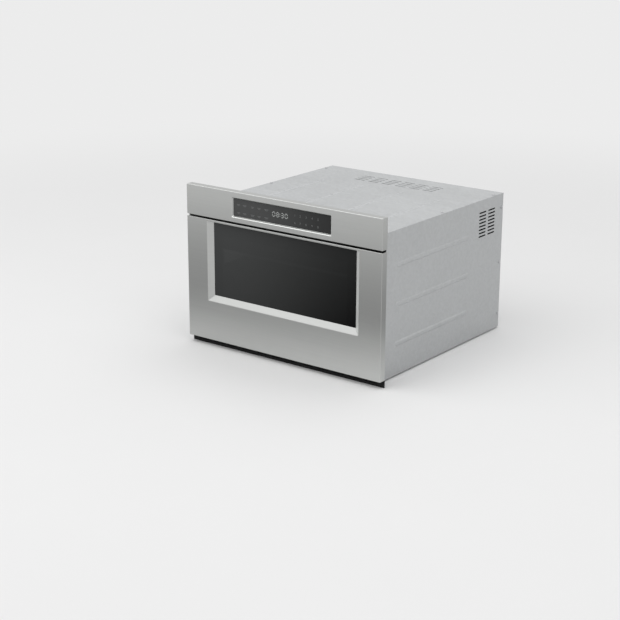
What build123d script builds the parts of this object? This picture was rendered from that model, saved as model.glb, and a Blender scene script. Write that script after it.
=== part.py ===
from build123d import *
import math
import os

os.makedirs("parts", exist_ok=True)

# A built-in microwave drawer. +Z is up, the front faces -Y, and the origin is the middle of its footprint on the
# surface that it stands on. Depths are measured back from the front face. All sizes are in millimetres.

# ---------------------------------------------------------------- driving dimensions: front
front_side_overlap = 24.0
front_thickness = 19.0
base_strip_height = 18.0
drawer_front_height = 320.0
reveal_gap = 5.0
control_height = 78.0
skin = 1.2
edge_radius = 0.9
closing_gap = 1.0

window_side_margin = 65.7
window_bottom_margin = 104.1
window_top_rail = 5.5
bevel_width = 15.0
bevel_depth = 11.0
window_glass_thickness = 4.0
glass_lap = 3.7

display_width = 308.6
display_height = 50.6
display_from_top = 14.5
display_slope_width = 3.0
display_recess = 4.6
display_glass_thickness = 3.0
display_glass_lap = 5.0

strip_thickness = 3.0
strip_clearance = 0.5
strip_slot_length = 34.0
strip_slot_height = 4.0
strip_slot_pitch = 48.0
strip_slots = 12

# ---------------------------------------------------------------- driving dimensions: case
side_room = 48.8
case_height = 372.0
rear_room = 118.5
sheet = 1.2
flange = 12.0
foot_height = 4.0
foot_radius = 12.0
foot_inset_x = 40.0
foot_inset_y = 45.0
frame_sheet = 1.5
frame_overlap = 5.0
frame_foot_gap = 2.0
frame_opening_bottom = 38.0
frame_return = 14.0
frame_screw_radius = 2.4
frame_screw_offset = 9.0
frame_screw_low = 70.0
frame_screw_spacing = 240.0
gland_projection = 3.0
gland_bore_radius = 4.5
gland_wall = 3.0
gland_flange = 4.0
gland_from_side = 54.0
gland_z = 330.0
gland_inside = 12.0
gland_fit = 0.1

# ---------------------------------------------------------------- driving dimensions: drawer and cavity
drawer_travel = 381.0
door_frame_depth = 23.0
door_frame_reach = 19.0
door_frame_bottom = 44.0
door_frame_top = 322.0
door_sheet = 1.5
screen_inset = 27.3
screen_bottom = 138.0
screen_top = 297.0
screen_thickness = 1.0
screen_seat_depth = 14.0
screen_lap = 5.0
inner_window_thickness = 3.0
window_fit = 0.3
choke_slot = 9.0
choke_slot_offset = 10.0
choke_bridge = 22.0
choke_cover_thickness = 1.6
choke_cover_lip = 4.0
choke_reach = 16.0
choke_cover_reach = 3.0
seal_gap = 0.4

cavity_floor_height = 100.0
usable_height = 182.6
tray_clear_width = 440.0
tray_clear_depth = 420.0
tray_wall = 1.2
tray_wall_height = 95.0
tray_side_gap = 7.8
tray_rear_gap = 8.8
tray_lift = 4.0
tray_sheet = 1.5
tray_bead_height = 9.5
tray_bead_width = 26.0
tray_bead_pitch = 180.0
tray_foot_width = 12.0
tray_flange_height = 28.0
ceramic_thickness = 5.0
ceramic_fit = 1.0

face_sheet = 1.5
face_reach = 14.0
stirrer_cover_thickness = 2.4
stirrer_cover_lap = 12.0
well_half = 112.0
well_height = 25.0

# ---------------------------------------------------------------- driving dimensions: slides and drive
rail_height = 45.0
rail_bottom = 48.0
rail_length = 460.0
rail_sheet = 1.2
rail_run_gap = 0.4
rail_flange = 12.1
rail_start = 42.0
rail_arm_thickness = 2.0
rail_arm_length = 470.0
rail_arm_shelf = 18.0
rail_arm_foot = 20.0
rail_arm_foot_height = 30.0
rail_arm_lift = 2.0

tooth_module = 2.0
pinion_teeth = 14
pinion_width = 12.0
pinion_bore_play = 0.05
pinion_shaft_radius = 4.0
pinion_shaft_in_gearbox = 18.0
pinion_depth = 75.0
rack_width = 10.0
rack_bar_height = 10.0
rack_end_margin = 14.0
mesh_backlash = 0.5
gearbox_width = 38.0
gearbox_length = 64.0
gearbox_height = 66.0
gearbox_gap = 2.0
drive_motor_radius = 19.0
drive_motor_length = 72.0

# ---------------------------------------------------------------- driving dimensions: works
stirrer_radius = 94.0
stirrer_hub_radius = 10.0
stirrer_hub_height = 12.0
stirrer_hub_lift = 6.0
stirrer_blade_width = 15.0
stirrer_blade_pitch = 26.0
stirrer_blades = 4
stirrer_shaft_radius = 3.0
stirrer_shaft_in_motor = 8.0
shaft_play = 0.05
stirrer_motor_radius = 24.0
stirrer_motor_height = 16.0

waveguide_width = 82.0
waveguide_height = 27.0
waveguide_rear_inset = 18.0
antenna_radius = 8.0
antenna_hole_radius = 12.0
antenna_height = 17.0
magnetron_width = 92.0
magnetron_length = 78.0
magnetron_height = 108.0
magnetron_fins = 7
magnetron_fin_thickness = 1.0
magnetron_core_radius = 20.0
magnetron_filter_height = 26.0
magnetron_from_rear = 66.0

transformer_x = -190.0
transformer_from_rear = 62.0
transformer_core = (88.0, 68.0, 84.0)
transformer_coil = (62.0, 96.0, 22.0)
capacitor_x = -96.0
capacitor_from_rear = 50.0
capacitor_length = 52.0
capacitor_width = 33.0
capacitor_height = 96.0
filter_board_x = 190.0
filter_board_z = 262.0
filter_board_size = (92.0, 64.0)
board_thickness = 1.6
filter_standoff = 9.0
filter_standoff_radius = 3.0
filter_standoff_inset = 5.0
filter_part_height = 20.0

fan_x = 140.0
fan_z = 100.0
fan_duct_size = 128.0
fan_duct_depth = 34.0
fan_from_rear = 6.0
fan_radius = 55.0
fan_tip_gap = 3.0
fan_hub_radius = 17.0
fan_hub_height = 16.0
fan_blades = 5
fan_blade_pitch = 32.0
fan_blade_width = 24.0
fan_blade_thickness = 1.6
fan_motor_radius = 26.0
fan_motor_length = 30.0
fan_arm_width = 8.0
fan_arm_thickness = 3.0
fan_shaft_radius = 3.0
fan_shaft_length = 12.0

lamp_depth = 300.0
lamp_z = 258.0
lamp_holder_size = (26.0, 44.0, 36.0)
lamp_bulb_radius = 9.0
lamp_hole_radius = 1.8
lamp_hole_pitch = 6.0
cutout_radius = 8.5
cutout_height = 7.0
cutout_z = 250.0
cutout_x = 110.0

switch_width = 10.3
switch_length = 27.8
switch_depth = 15.9
switch_front = 54.0
switch_gap = 0.1
plunger_radius = 1.5
plunger_out = 2.3
plunger_in = 6.0
plunger_travel_room = 1.4
hook_from_cavity = 25.0
hook_z = 316.0
hook_width = 16.0
hook_height = 8.0
hook_nose = 3.0
hook_clearance = 1.5
hook_tip_gap = 0.3
shelf_depth = 36.0

carrier_thickness = 2.0
carrier_fit = 0.4
display_module_width = 64.0
display_module_height = 30.0
display_module_depth = 4.5
control_board_width = 260.0
control_board_height = 44.0
control_board_standoff = 1.5
control_board_part_height = 3.2

screw_radius = 1.9
screw_head_radius = 3.8
screw_head_height = 2.2
screw_length = 7.0
screw_play = 0.1
screw_slot_width = 0.9
screw_slot_depth = 1.2
cover_screw_inset = 40.0
side_screw_clearance = 12.0
tray_screw_pitch = 100.0
tray_screw_drop = 6.0

vent_slot_length = 34.0
vent_slot_height = 4.0
vent_gap_x = 10.0
vent_gap_close = 5.0
vent_gap_wide = 12.0
vent_from_rear = 80.0
vent_from_top = 65.0

# ---------------------------------------------------------------- places worked out from the sizes
tray_half = tray_clear_width / 2
tray_outer = tray_half + tray_wall
cavity_half = tray_outer + tray_side_gap
face_half = cavity_half + face_reach
case_inner = cavity_half + side_room
half_case = case_inner + sheet
half_front = half_case + front_side_overlap
frame_depth = front_thickness + closing_gap

drawer_z0 = base_strip_height
drawer_z1 = drawer_z0 + drawer_front_height
control_z0 = drawer_z1 + reveal_gap
control_z1 = control_z0 + control_height
base_z = foot_height + sheet
roof_of_case = case_height - sheet
gland_x = half_case - gland_from_side

window_half = half_front - window_side_margin
window_z0 = drawer_z0 + window_bottom_margin
window_z1 = drawer_z1 - window_top_rail
glass_half = window_half - bevel_width
screen_half_width = glass_half - screen_inset
glass_z0 = window_z0 + bevel_width
bevel_wrap = skin * math.hypot(bevel_width, bevel_depth) / bevel_depth

display_z1 = control_z1 - display_from_top
display_z0 = display_z1 - display_height
display_z = (display_z0 + display_z1) / 2
display_wrap = skin * math.hypot(display_slope_width, display_recess) / display_recess

door_frame_start = bevel_depth + window_glass_thickness
door_back = door_frame_start + door_frame_depth
choke_back = door_back + choke_cover_thickness
face_depth = choke_back + seal_gap
cavity_front = face_depth + face_sheet
tray_front = choke_back + tray_sheet
tray_rear = tray_front + tray_clear_depth
cavity_rear = tray_rear + tray_wall + tray_rear_gap
cavity_middle = (cavity_front + cavity_rear) / 2
rear_inner = cavity_rear + sheet + rear_room
rear_depth = rear_inner + sheet
unit_depth = rear_depth + gland_projection
front_y = -unit_depth / 2

tray_z0 = cavity_floor_height + tray_lift
tray_pan_top = tray_z0 + tray_sheet
ceramic_z0 = tray_pan_top + tray_bead_height
ceramic_z1 = ceramic_z0 + ceramic_thickness
cavity_roof_z = ceramic_z1 + usable_height + stirrer_cover_thickness
roof_top = cavity_roof_z + sheet
well_top = roof_top + well_height

rail_middle_z = rail_bottom + rail_height / 2
rail_step = rail_sheet + rail_run_gap
inner_rail_x = case_inner - rail_flange - rail_sheet
arm_x = inner_rail_x - rail_arm_thickness
inner_rail_height = rail_height - 4 * rail_step
arm_top = rail_middle_z + inner_rail_height / 2
rail_arm_z0 = rail_bottom + rail_arm_lift

tooth_pitch = math.pi * tooth_module
pinion_pitch_radius = tooth_module * pinion_teeth / 2
rack_x = arm_x - rail_arm_shelf / 2
rack_top = arm_top - rail_arm_thickness
rack_root_z = rack_top - rack_bar_height
rack_pitch_z = rack_root_z - 1.25 * tooth_module
pinion_z = rack_pitch_z - pinion_pitch_radius
gearbox_x1 = arm_x - rail_arm_shelf - gearbox_gap
gearbox_x0 = gearbox_x1 - gearbox_width
pinion_x0 = rack_x - pinion_width / 2

frame_opening_top = drawer_z1 - frame_foot_gap
frame_opening_half = case_inner - sheet
frame_screw_x = half_case + frame_screw_offset
door_frame_half_width = face_half + door_frame_reach
shelf_z = roof_top - face_sheet
hook_x = cavity_half + hook_from_cavity
choke_half = face_half + choke_cover_reach
choke_z0 = cavity_floor_height - choke_reach
choke_z1 = cavity_roof_z + choke_reach
vent_pitch_x = vent_slot_length + vent_gap_x
vent_pitch_close = vent_slot_height + vent_gap_close
vent_pitch_wide = vent_slot_height + vent_gap_wide


def back(depth):
    """The y of a place this far behind the front face."""
    return front_y + depth


def front_plane(depth):
    """A plane parallel to the front, looking out of it: its x runs right and its y runs up."""
    return Plane.XZ.offset(-back(depth))


def slab(x0, x1, d0, d1, z0, z1, mode=Mode.ADD):
    """A box between two depths, added to or cut from the part being built."""
    with Locations(((x0 + x1) / 2, back((d0 + d1) / 2), (z0 + z1) / 2)):
        Box(x1 - x0, d1 - d0, z1 - z0, mode=mode)


def upright_rectangle(half_width, low, high):
    """A rectangle in an upright sketch, centred left to right, between two heights."""
    with Locations((0, (low + high) / 2)):
        Rectangle(2 * half_width, high - low)


def screw(place):
    """A pan-head screw whose head sits on the face that this place's z axis comes out of."""
    with Locations(place):
        Cylinder(screw_head_radius, screw_head_height, align=(Align.CENTER, Align.CENTER, Align.MIN))
        Cylinder(screw_radius, screw_length, align=(Align.CENTER, Align.CENTER, Align.MAX))
        with Locations((0, 0, screw_head_height)):
            Box(screw_head_radius, screw_slot_width, 2 * screw_slot_depth, mode=Mode.SUBTRACT)
            Box(screw_slot_width, screw_head_radius, 2 * screw_slot_depth, mode=Mode.SUBTRACT)


def screw_hole(place):
    """The hole that such a screw goes through."""
    with Locations(place):
        Cylinder(screw_radius + screw_play, 2 * screw_length, mode=Mode.SUBTRACT)


# Screw places: each has its z axis pointing out of the face that the head sits on.
cover_screws = [
    Location((side * (case_inner - flange / 2), back(depth), case_height), (0, 0, 0))
    for side in (-1, 1)
    for depth in (
        frame_depth + cover_screw_inset, (frame_depth + rear_depth) / 2, rear_depth - cover_screw_inset
    )
]
side_screw_heights = (case_height * 0.12, case_height * 0.5, case_height * 0.9)
side_screws = {
    side: [
        Location((side * half_case, back(rear_depth - sheet - flange / 2), z), (0, side * 90, 0))
        for z in side_screw_heights
    ]
    for side in (-1, 1)
}
frame_side_screws = {
    side: [
        Location((side * half_case, back(frame_depth + frame_sheet + frame_return / 2), z), (0, side * 90, 0))
        for z in (rail_bottom + rail_height + side_screw_clearance, shelf_z - 2 * side_screw_clearance)
    ]
    for side in (-1, 1)
}
tray_screw_z = tray_z0 + tray_flange_height - tray_screw_drop
tray_screws = [
    Location((place * tray_screw_pitch, back(tray_front), tray_screw_z), (-90, 0, 0))
    for place in (-1.5, -0.5, 0.5, 1.5)
]
arm_screws = [
    Location((side * (arm_x - rail_arm_foot / 2), back(door_back + rail_arm_thickness), z), (-90, 0, 0))
    for side in (-1, 1)
    for z in (rail_arm_z0 + rail_arm_foot_height * 0.25, rail_arm_z0 + rail_arm_foot_height * 0.75)
]

# ================================================================ front

# Control panel: a folded stainless pan with a sloping surround for the display
with BuildPart() as control_fascia:
    with BuildSketch(front_plane(0)):
        upright_rectangle(half_front, control_z0, control_z1)
    extrude(amount=-frame_depth)
    fillet(control_fascia.faces().sort_by(Axis.Y)[0].edges(), radius=edge_radius)
    with BuildSketch(front_plane(skin)):
        upright_rectangle(half_front - skin, control_z0 + skin, control_z1 - skin)
    extrude(amount=-(frame_depth - skin), mode=Mode.SUBTRACT)
    for grow, mode in ((display_wrap, Mode.ADD), (0, Mode.SUBTRACT)):
        with BuildSketch(front_plane(0)):
            upright_rectangle(display_width / 2 + grow, display_z0 - grow, display_z1 + grow)
        with BuildSketch(front_plane(display_recess)):
            inset = display_slope_width - grow
            upright_rectangle(display_width / 2 - inset, display_z0 + inset, display_z1 - inset)
        loft(mode=mode)
control_fascia.part.label = "control_fascia"
export_step(control_fascia.part, "parts/control_fascia.step")

# Touch glass behind the display surround
display_glass_half = display_width / 2 - display_slope_width + display_glass_lap
display_glass_half_height = display_height / 2 - display_slope_width + display_glass_lap
with BuildPart() as display_glass:
    with BuildSketch(front_plane(display_recess)):
        upright_rectangle(
            display_glass_half, display_z - display_glass_half_height, display_z + display_glass_half_height
        )
    extrude(amount=-display_glass_thickness)
    fillet(display_glass.edges().filter_by(Axis.Y), radius=3)
display_glass.part.label = "display_glass"
export_step(display_glass.part, "parts/display_glass.step")

# Plastic carrier that holds the glass, the display and the board against the front
carrier_front = display_recess + display_glass_thickness
carrier_half = half_front - skin - carrier_fit
carrier_z0 = control_z0 + skin + carrier_fit
carrier_z1 = control_z1 - skin - carrier_fit
carrier_pocket = display_module_depth + control_board_standoff
with BuildPart() as control_carrier:
    slab(-carrier_half, carrier_half, carrier_front, frame_depth, carrier_z0, carrier_z1)
    slab(
        -display_width / 2,
        display_width / 2,
        carrier_front,
        frame_depth - carrier_thickness,
        display_z0,
        display_z1,
        Mode.SUBTRACT,
    )
    for side in (-1, 1):
        slab(
            min(side * (display_width / 2 + 12), side * (carrier_half - 6)),
            max(side * (display_width / 2 + 12), side * (carrier_half - 6)),
            carrier_front + carrier_thickness,
            frame_depth,
            carrier_z0 + 6,
            carrier_z1 - 6,
            Mode.SUBTRACT,
        )
control_carrier.part.label = "control_carrier"
export_step(control_carrier.part, "parts/control_carrier.step")

# Lit display module behind the middle of the glass
with BuildPart() as display_module:
    slab(
        -display_module_width / 2,
        display_module_width / 2,
        carrier_front,
        carrier_front + display_module_depth,
        display_z - display_module_height / 2,
        display_z + display_module_height / 2,
    )
    fillet(display_module.edges().filter_by(Axis.Y), radius=2)
display_module.part.label = "display_module"
export_step(display_module.part, "parts/display_module.step")

# Control board behind the display module, with its relay, connector and chips
board_depth = carrier_front + display_module_depth
with BuildPart() as control_board:
    slab(
        -control_board_width / 2,
        control_board_width / 2,
        board_depth,
        board_depth + board_thickness,
        display_z - control_board_height / 2,
        display_z + control_board_height / 2,
    )
    for place, width, height, tall in (
        (-0.38, 0.08, 0.36, 1.0), (-0.19, 0.13, 0.27, 0.75), (0.08, 0.07, 0.41, 0.5), (0.35, 0.15, 0.23, 0.94)
    ):
        slab(
            (place - width / 2) * control_board_width,
            (place + width / 2) * control_board_width,
            board_depth + board_thickness,
            board_depth + board_thickness + tall * control_board_part_height,
            display_z - height / 2 * control_board_height,
            display_z + height / 2 * control_board_height,
        )
control_board.part.label = "control_board"
export_step(control_board.part, "parts/control_board.step")

# Black vented strip under the drawer
with BuildPart() as base_vent_trim:
    slab(
        -half_front,
        half_front,
        frame_depth - strip_thickness,
        frame_depth,
        0,
        base_strip_height - strip_clearance,
    )
    with BuildSketch(front_plane(frame_depth - strip_thickness)):
        with Locations((0, base_strip_height / 2)):
            with GridLocations(strip_slot_pitch, 1, strip_slots, 1):
                SlotOverall(strip_slot_length, strip_slot_height)
    extrude(amount=-strip_thickness, mode=Mode.SUBTRACT)
base_vent_trim.part.label = "base_vent_trim"
export_step(base_vent_trim.part, "parts/base_vent_trim.step")

# ================================================================ case

# Front frame: the flange that is screwed to the cabinet, with returns into the case
with BuildPart() as front_frame:
    slab(
        -(half_front - frame_overlap),
        half_front - frame_overlap,
        frame_depth,
        frame_depth + frame_sheet,
        frame_foot_gap,
        control_z1 - frame_overlap,
    )
    slab(
        -frame_opening_half,
        frame_opening_half,
        frame_depth,
        frame_depth + frame_sheet,
        frame_opening_bottom,
        frame_opening_top,
        Mode.SUBTRACT,
    )
    for side in (-1, 1):
        slab(
            min(side * frame_opening_half, side * case_inner),
            max(side * frame_opening_half, side * case_inner),
            frame_depth + frame_sheet,
            frame_depth + frame_sheet + frame_return,
            frame_opening_bottom,
            frame_opening_top,
        )
        for place in frame_side_screws[side]:
            screw_hole(place)
    with BuildSketch(front_plane(frame_depth)):
        with Locations((0, frame_screw_low + frame_screw_spacing / 2)):
            with GridLocations(2 * frame_screw_x, frame_screw_spacing, 2, 2):
                Circle(frame_screw_radius)
    extrude(amount=-frame_sheet, mode=Mode.SUBTRACT)
    with BuildSketch(front_plane(frame_depth)):
        with Locations((0, (frame_foot_gap + frame_opening_bottom) / 2)):
            with GridLocations(strip_slot_pitch, 1, strip_slots - 2, 1):
                SlotOverall(strip_slot_length, 2 * strip_slot_height)
    extrude(amount=-frame_sheet, mode=Mode.SUBTRACT)
front_frame.part.label = "front_frame"
export_step(front_frame.part, "parts/front_frame.step")

case_start = frame_depth + frame_sheet

# Base plate with its turned-up lips
with BuildPart() as base_plate:
    slab(-case_inner, case_inner, case_start, rear_inner, foot_height, base_z)
    for side in (-1, 1):
        slab(
            min(side * (case_inner - sheet), side * case_inner),
            max(side * (case_inner - sheet), side * case_inner),
            case_start + frame_return,
            rear_inner - flange - sheet,
            base_z,
            base_z + flange,
        )
    with BuildSketch(Plane.XY.offset(foot_height)):
        with Locations((-cavity_half * 0.4, back(cavity_middle))):
            with GridLocations(vent_pitch_x, vent_pitch_wide, 5, 8):
                SlotOverall(vent_slot_length, vent_slot_height)
    extrude(amount=sheet, mode=Mode.SUBTRACT)
base_plate.part.label = "base_plate"
export_step(base_plate.part, "parts/base_plate.step")

# Four glide feet under the base plate
with BuildPart() as feet:
    with BuildSketch(Plane.XY):
        with Locations((0, back((case_start + rear_inner) / 2))):
            with GridLocations(
                2 * (case_inner - foot_inset_x), rear_inner - case_start - 2 * foot_inset_y, 2, 2
            ):
                Circle(foot_radius)
    extrude(amount=foot_height)
    chamfer(feet.edges().group_by(Axis.Z)[0], length=1)
feet.part.label = "feet"
export_step(feet.part, "parts/feet.step")


def side_panel(side):
    """A side of the case, with an inward flange under the top cover and rows of air slots."""
    with BuildPart() as panel:
        outer = side * half_case
        inner = side * case_inner
        slab(min(outer, inner), max(outer, inner), case_start, rear_depth, foot_height, roof_of_case)
        lip = side * (case_inner - flange)
        slab(
            min(inner, lip),
            max(inner, lip),
            case_start + frame_return,
            rear_inner - flange - sheet,
            roof_of_case - sheet,
            roof_of_case,
        )
        with BuildSketch(Plane.YZ.offset(min(outer, inner))):
            with Locations((back(rear_depth - vent_from_rear), case_height - vent_from_top)):
                with GridLocations(vent_pitch_x, vent_pitch_close, 2, 8):
                    SlotOverall(vent_slot_length, vent_slot_height)
        extrude(amount=sheet, mode=Mode.SUBTRACT)
        for place in side_screws[side] + frame_side_screws[side]:
            screw_hole(place)
        for place in cover_screws:
            screw_hole(place)
    return panel.part


left_side_panel = side_panel(-1)
left_side_panel.label = "left_side_panel"
export_step(left_side_panel, "parts/left_side_panel.step")

right_side_panel = side_panel(1)
right_side_panel.label = "right_side_panel"
export_step(right_side_panel, "parts/right_side_panel.step")

# Top cover
with BuildPart() as top_cover:
    slab(-half_case, half_case, case_start, rear_depth, roof_of_case, case_height)
    with BuildSketch(Plane.XY.offset(roof_of_case)):
        with Locations((0, back(rear_depth - vent_from_rear))):
            with GridLocations(vent_pitch_x, vent_pitch_wide, 6, 4):
                SlotOverall(vent_slot_length, vent_slot_height)
    extrude(amount=sheet, mode=Mode.SUBTRACT)
    for place in cover_screws:
        screw_hole(place)
top_cover.part.label = "top_cover"
export_step(top_cover.part, "parts/top_cover.step")

# Rear panel, with forward flanges, fan slots and the cord inlet's hole
with BuildPart() as rear_panel:
    slab(-case_inner, case_inner, rear_inner, rear_depth, foot_height, roof_of_case)
    for side in (-1, 1):
        slab(
            min(side * (case_inner - sheet), side * case_inner),
            max(side * (case_inner - sheet), side * case_inner),
            rear_inner - flange,
            rear_inner,
            base_z,
            roof_of_case,
        )
        for place in side_screws[side]:
            screw_hole(place)
    with BuildSketch(front_plane(rear_inner)):
        with Locations((fan_x, fan_z)):
            with GridLocations(vent_pitch_x, vent_pitch_close, 3, 12):
                SlotOverall(vent_slot_length, vent_slot_height)
        with Locations((-half_case / 2, case_height - vent_from_top)):
            with GridLocations(vent_pitch_x, vent_pitch_close, 4, 6):
                SlotOverall(vent_slot_length, vent_slot_height)
        with Locations((gland_x, gland_z)):
            Circle(gland_bore_radius + gland_wall + gland_fit)
    extrude(amount=-sheet, mode=Mode.SUBTRACT)
rear_panel.part.label = "rear_panel"
export_step(rear_panel.part, "parts/rear_panel.step")

# Cord inlet gland in the rear panel
with BuildPart() as cord_gland:
    with BuildSketch(front_plane(rear_inner - gland_inside)):
        with Locations((gland_x, gland_z)):
            Circle(gland_bore_radius + gland_wall)
    extrude(amount=-(gland_inside + sheet + gland_projection))
    with BuildSketch(front_plane(rear_depth)):
        with Locations((gland_x, gland_z)):
            Circle(gland_bore_radius + gland_wall + gland_flange)
    extrude(amount=-gland_projection)
    with BuildSketch(front_plane(rear_inner - gland_inside)):
        with Locations((gland_x, gland_z)):
            Circle(gland_bore_radius)
    extrude(amount=-(gland_inside + sheet + gland_projection), mode=Mode.SUBTRACT)
cord_gland.part.label = "cord_gland"
export_step(cord_gland.part, "parts/cord_gland.step")

# Screws that hold the case together
with BuildPart() as case_screws:
    for place in cover_screws + side_screws[-1] + side_screws[1] + frame_side_screws[-1] + frame_side_screws[1]:
        screw(place)
case_screws.part.label = "case_screws"
export_step(case_screws.part, "parts/case_screws.step")

# ================================================================ cavity

# Face plate round the cavity mouth, which the drawer seals against, with the shelf for the switches
slot_half = hook_width / 2 + hook_clearance
with BuildPart() as cavity_face:
    slab(-face_half, face_half, face_depth, cavity_front, base_z, frame_opening_top)
    slab(-case_inner, case_inner, face_depth, cavity_front, shelf_z, frame_opening_top)
    slab(-cavity_half, cavity_half, face_depth, cavity_front, cavity_floor_height, cavity_roof_z, Mode.SUBTRACT)
    slab(-face_half, face_half, case_start, face_depth, frame_opening_top - face_sheet, frame_opening_top)
    for side in (-1, 1):
        inner = side * (cavity_half + sheet)
        outer = side * case_inner
        slab(
            min(inner, outer),
            max(inner, outer),
            cavity_front,
            cavity_front + shelf_depth,
            shelf_z,
            shelf_z + face_sheet,
        )
        slab(
            side * hook_x - slot_half,
            side * hook_x + slot_half,
            face_depth,
            cavity_front,
            hook_z - hook_height / 2 - hook_clearance,
            hook_z + hook_height / 2 + hook_clearance,
            Mode.SUBTRACT,
        )
cavity_face.part.label = "cavity_face"
export_step(cavity_face.part, "parts/cavity_face.step")


def cavity_side(side):
    """A side wall of the cavity; the left one has small holes for the lamp."""
    with BuildPart() as wall:
        inner = side * cavity_half
        outer = side * (cavity_half + sheet)
        slab(
            min(inner, outer),
            max(inner, outer),
            cavity_front,
            cavity_rear,
            cavity_floor_height - sheet,
            roof_top,
        )
        if side < 0:
            with BuildSketch(Plane.YZ.offset(min(inner, outer))):
                with Locations((back(lamp_depth), lamp_z)):
                    with GridLocations(lamp_hole_pitch, lamp_hole_pitch, 5, 4):
                        Circle(lamp_hole_radius)
            extrude(amount=sheet, mode=Mode.SUBTRACT)
    return wall.part


cavity_left_wall = cavity_side(-1)
cavity_left_wall.label = "cavity_left_wall"
export_step(cavity_left_wall, "parts/cavity_left_wall.step")

cavity_right_wall = cavity_side(1)
cavity_right_wall.label = "cavity_right_wall"
export_step(cavity_right_wall, "parts/cavity_right_wall.step")

# Cavity floor
with BuildPart() as cavity_floor:
    slab(
        -cavity_half,
        cavity_half,
        cavity_front,
        cavity_rear,
        cavity_floor_height - sheet,
        cavity_floor_height,
    )
cavity_floor.part.label = "cavity_floor"
export_step(cavity_floor.part, "parts/cavity_floor.step")

# Cavity roof, raised into a square well for the stirrer, which opens into the waveguide
well_outer = well_half + sheet
guide_inner_half = waveguide_width / 2 - sheet
with BuildPart() as cavity_roof:
    slab(-cavity_half, cavity_half, cavity_front, cavity_rear, cavity_roof_z, roof_top)
    slab(-well_outer, well_outer, cavity_middle - well_outer, cavity_middle + well_outer, roof_top, well_top)
    slab(
        -well_half,
        well_half,
        cavity_middle - well_half,
        cavity_middle + well_half,
        cavity_roof_z,
        well_top - sheet,
        Mode.SUBTRACT,
    )
    slab(
        -guide_inner_half,
        guide_inner_half,
        cavity_middle + well_half,
        cavity_middle + well_outer,
        roof_top + sheet,
        well_top - 2 * sheet,
        Mode.SUBTRACT,
    )
    with BuildSketch(Plane.XY.offset(well_top - sheet)):
        with Locations((0, back(cavity_middle))):
            Circle(stirrer_shaft_radius + shaft_play)
    extrude(amount=sheet, mode=Mode.SUBTRACT)
cavity_roof.part.label = "cavity_roof"
export_step(cavity_roof.part, "parts/cavity_roof.step")

# Cavity rear wall, which runs down to the base plate as a bulkhead
with BuildPart() as cavity_rear_wall:
    slab(-(cavity_half + sheet), cavity_half + sheet, cavity_rear, cavity_rear + sheet, base_z, roof_top)
    with BuildSketch(front_plane(cavity_rear)):
        with Locations((fan_x, cavity_roof_z - 40)):
            with GridLocations(8, 8, 9, 5):
                Circle(2)
    extrude(amount=-sheet, mode=Mode.SUBTRACT)
cavity_rear_wall.part.label = "cavity_rear_wall"
export_step(cavity_rear_wall.part, "parts/cavity_rear_wall.step")

# Flat cover between the food and the stirrer
with BuildPart() as stirrer_cover:
    with BuildSketch(Plane.XY.offset(cavity_roof_z - stirrer_cover_thickness)):
        with Locations((0, back(cavity_middle))):
            RectangleRounded(
                2 * (well_half + stirrer_cover_lap), 2 * (well_half + stirrer_cover_lap), stirrer_cover_lap
            )
    extrude(amount=stirrer_cover_thickness)
    chamfer(stirrer_cover.edges().group_by(Axis.Z)[0], length=0.8)
stirrer_cover.part.label = "stirrer_cover"
export_step(stirrer_cover.part, "parts/stirrer_cover.step")

# ================================================================ stirrer, waveguide and magnetron

# Stirrer: a hub with tilted sheet blades, on the motor's shaft
stirrer_hub_z = cavity_roof_z + stirrer_hub_lift
stirrer_arm = stirrer_radius - stirrer_hub_radius
with BuildPart(Plane.XY.offset(stirrer_hub_z)) as stirrer_blade:
    with Locations((0, back(cavity_middle))):
        Cylinder(
            stirrer_hub_radius, stirrer_hub_height, align=(Align.CENTER, Align.CENTER, Align.MIN)
        )
        Cylinder(
            stirrer_shaft_radius,
            well_top + stirrer_shaft_in_motor - stirrer_hub_z,
            align=(Align.CENTER, Align.CENTER, Align.MIN),
        )
        with Locations((0, 0, stirrer_hub_height / 2)):
            with PolarLocations(stirrer_hub_radius + stirrer_arm / 2 - 1, stirrer_blades):
                Box(stirrer_arm + 2, stirrer_blade_width, sheet, rotation=(stirrer_blade_pitch, 0, 0))
stirrer_blade.part.label = "stirrer_blade"
export_step(stirrer_blade.part, "parts/stirrer_blade.step")

# Stirrer motor on top of the well
with BuildPart(Plane.XY.offset(well_top)) as stirrer_motor:
    with Locations((0, back(cavity_middle))):
        Cylinder(stirrer_motor_radius, stirrer_motor_height, align=(Align.CENTER, Align.CENTER, Align.MIN))
        Box(
            2 * stirrer_motor_radius + 18, 14, 1.5, align=(Align.CENTER, Align.CENTER, Align.MIN)
        )
        Cylinder(
            stirrer_shaft_radius + shaft_play,
            stirrer_shaft_in_motor + 1,
            align=(Align.CENTER, Align.CENTER, Align.MIN),
            mode=Mode.SUBTRACT,
        )
    fillet(stirrer_motor.edges().group_by(Axis.Z)[-1], radius=2)
stirrer_motor.part.label = "stirrer_motor"
export_step(stirrer_motor.part, "parts/stirrer_motor.step")

# Waveguide from the magnetron to the stirrer's well
guide_start = cavity_middle + well_outer
guide_end = rear_inner - waveguide_rear_inset
guide_top = roof_top + waveguide_height
magnetron_depth = rear_inner - magnetron_from_rear
with BuildPart() as waveguide:
    slab(-waveguide_width / 2, waveguide_width / 2, guide_start, guide_end, roof_top, guide_top)
    slab(
        -guide_inner_half,
        guide_inner_half,
        guide_start,
        guide_end - sheet,
        roof_top + sheet,
        guide_top - sheet,
        Mode.SUBTRACT,
    )
    with BuildSketch(Plane.XY.offset(roof_top)):
        with Locations((0, back(magnetron_depth))):
            Circle(antenna_hole_radius)
    extrude(amount=sheet, mode=Mode.SUBTRACT)
waveguide.part.label = "waveguide"
export_step(waveguide.part, "parts/waveguide.step")

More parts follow.
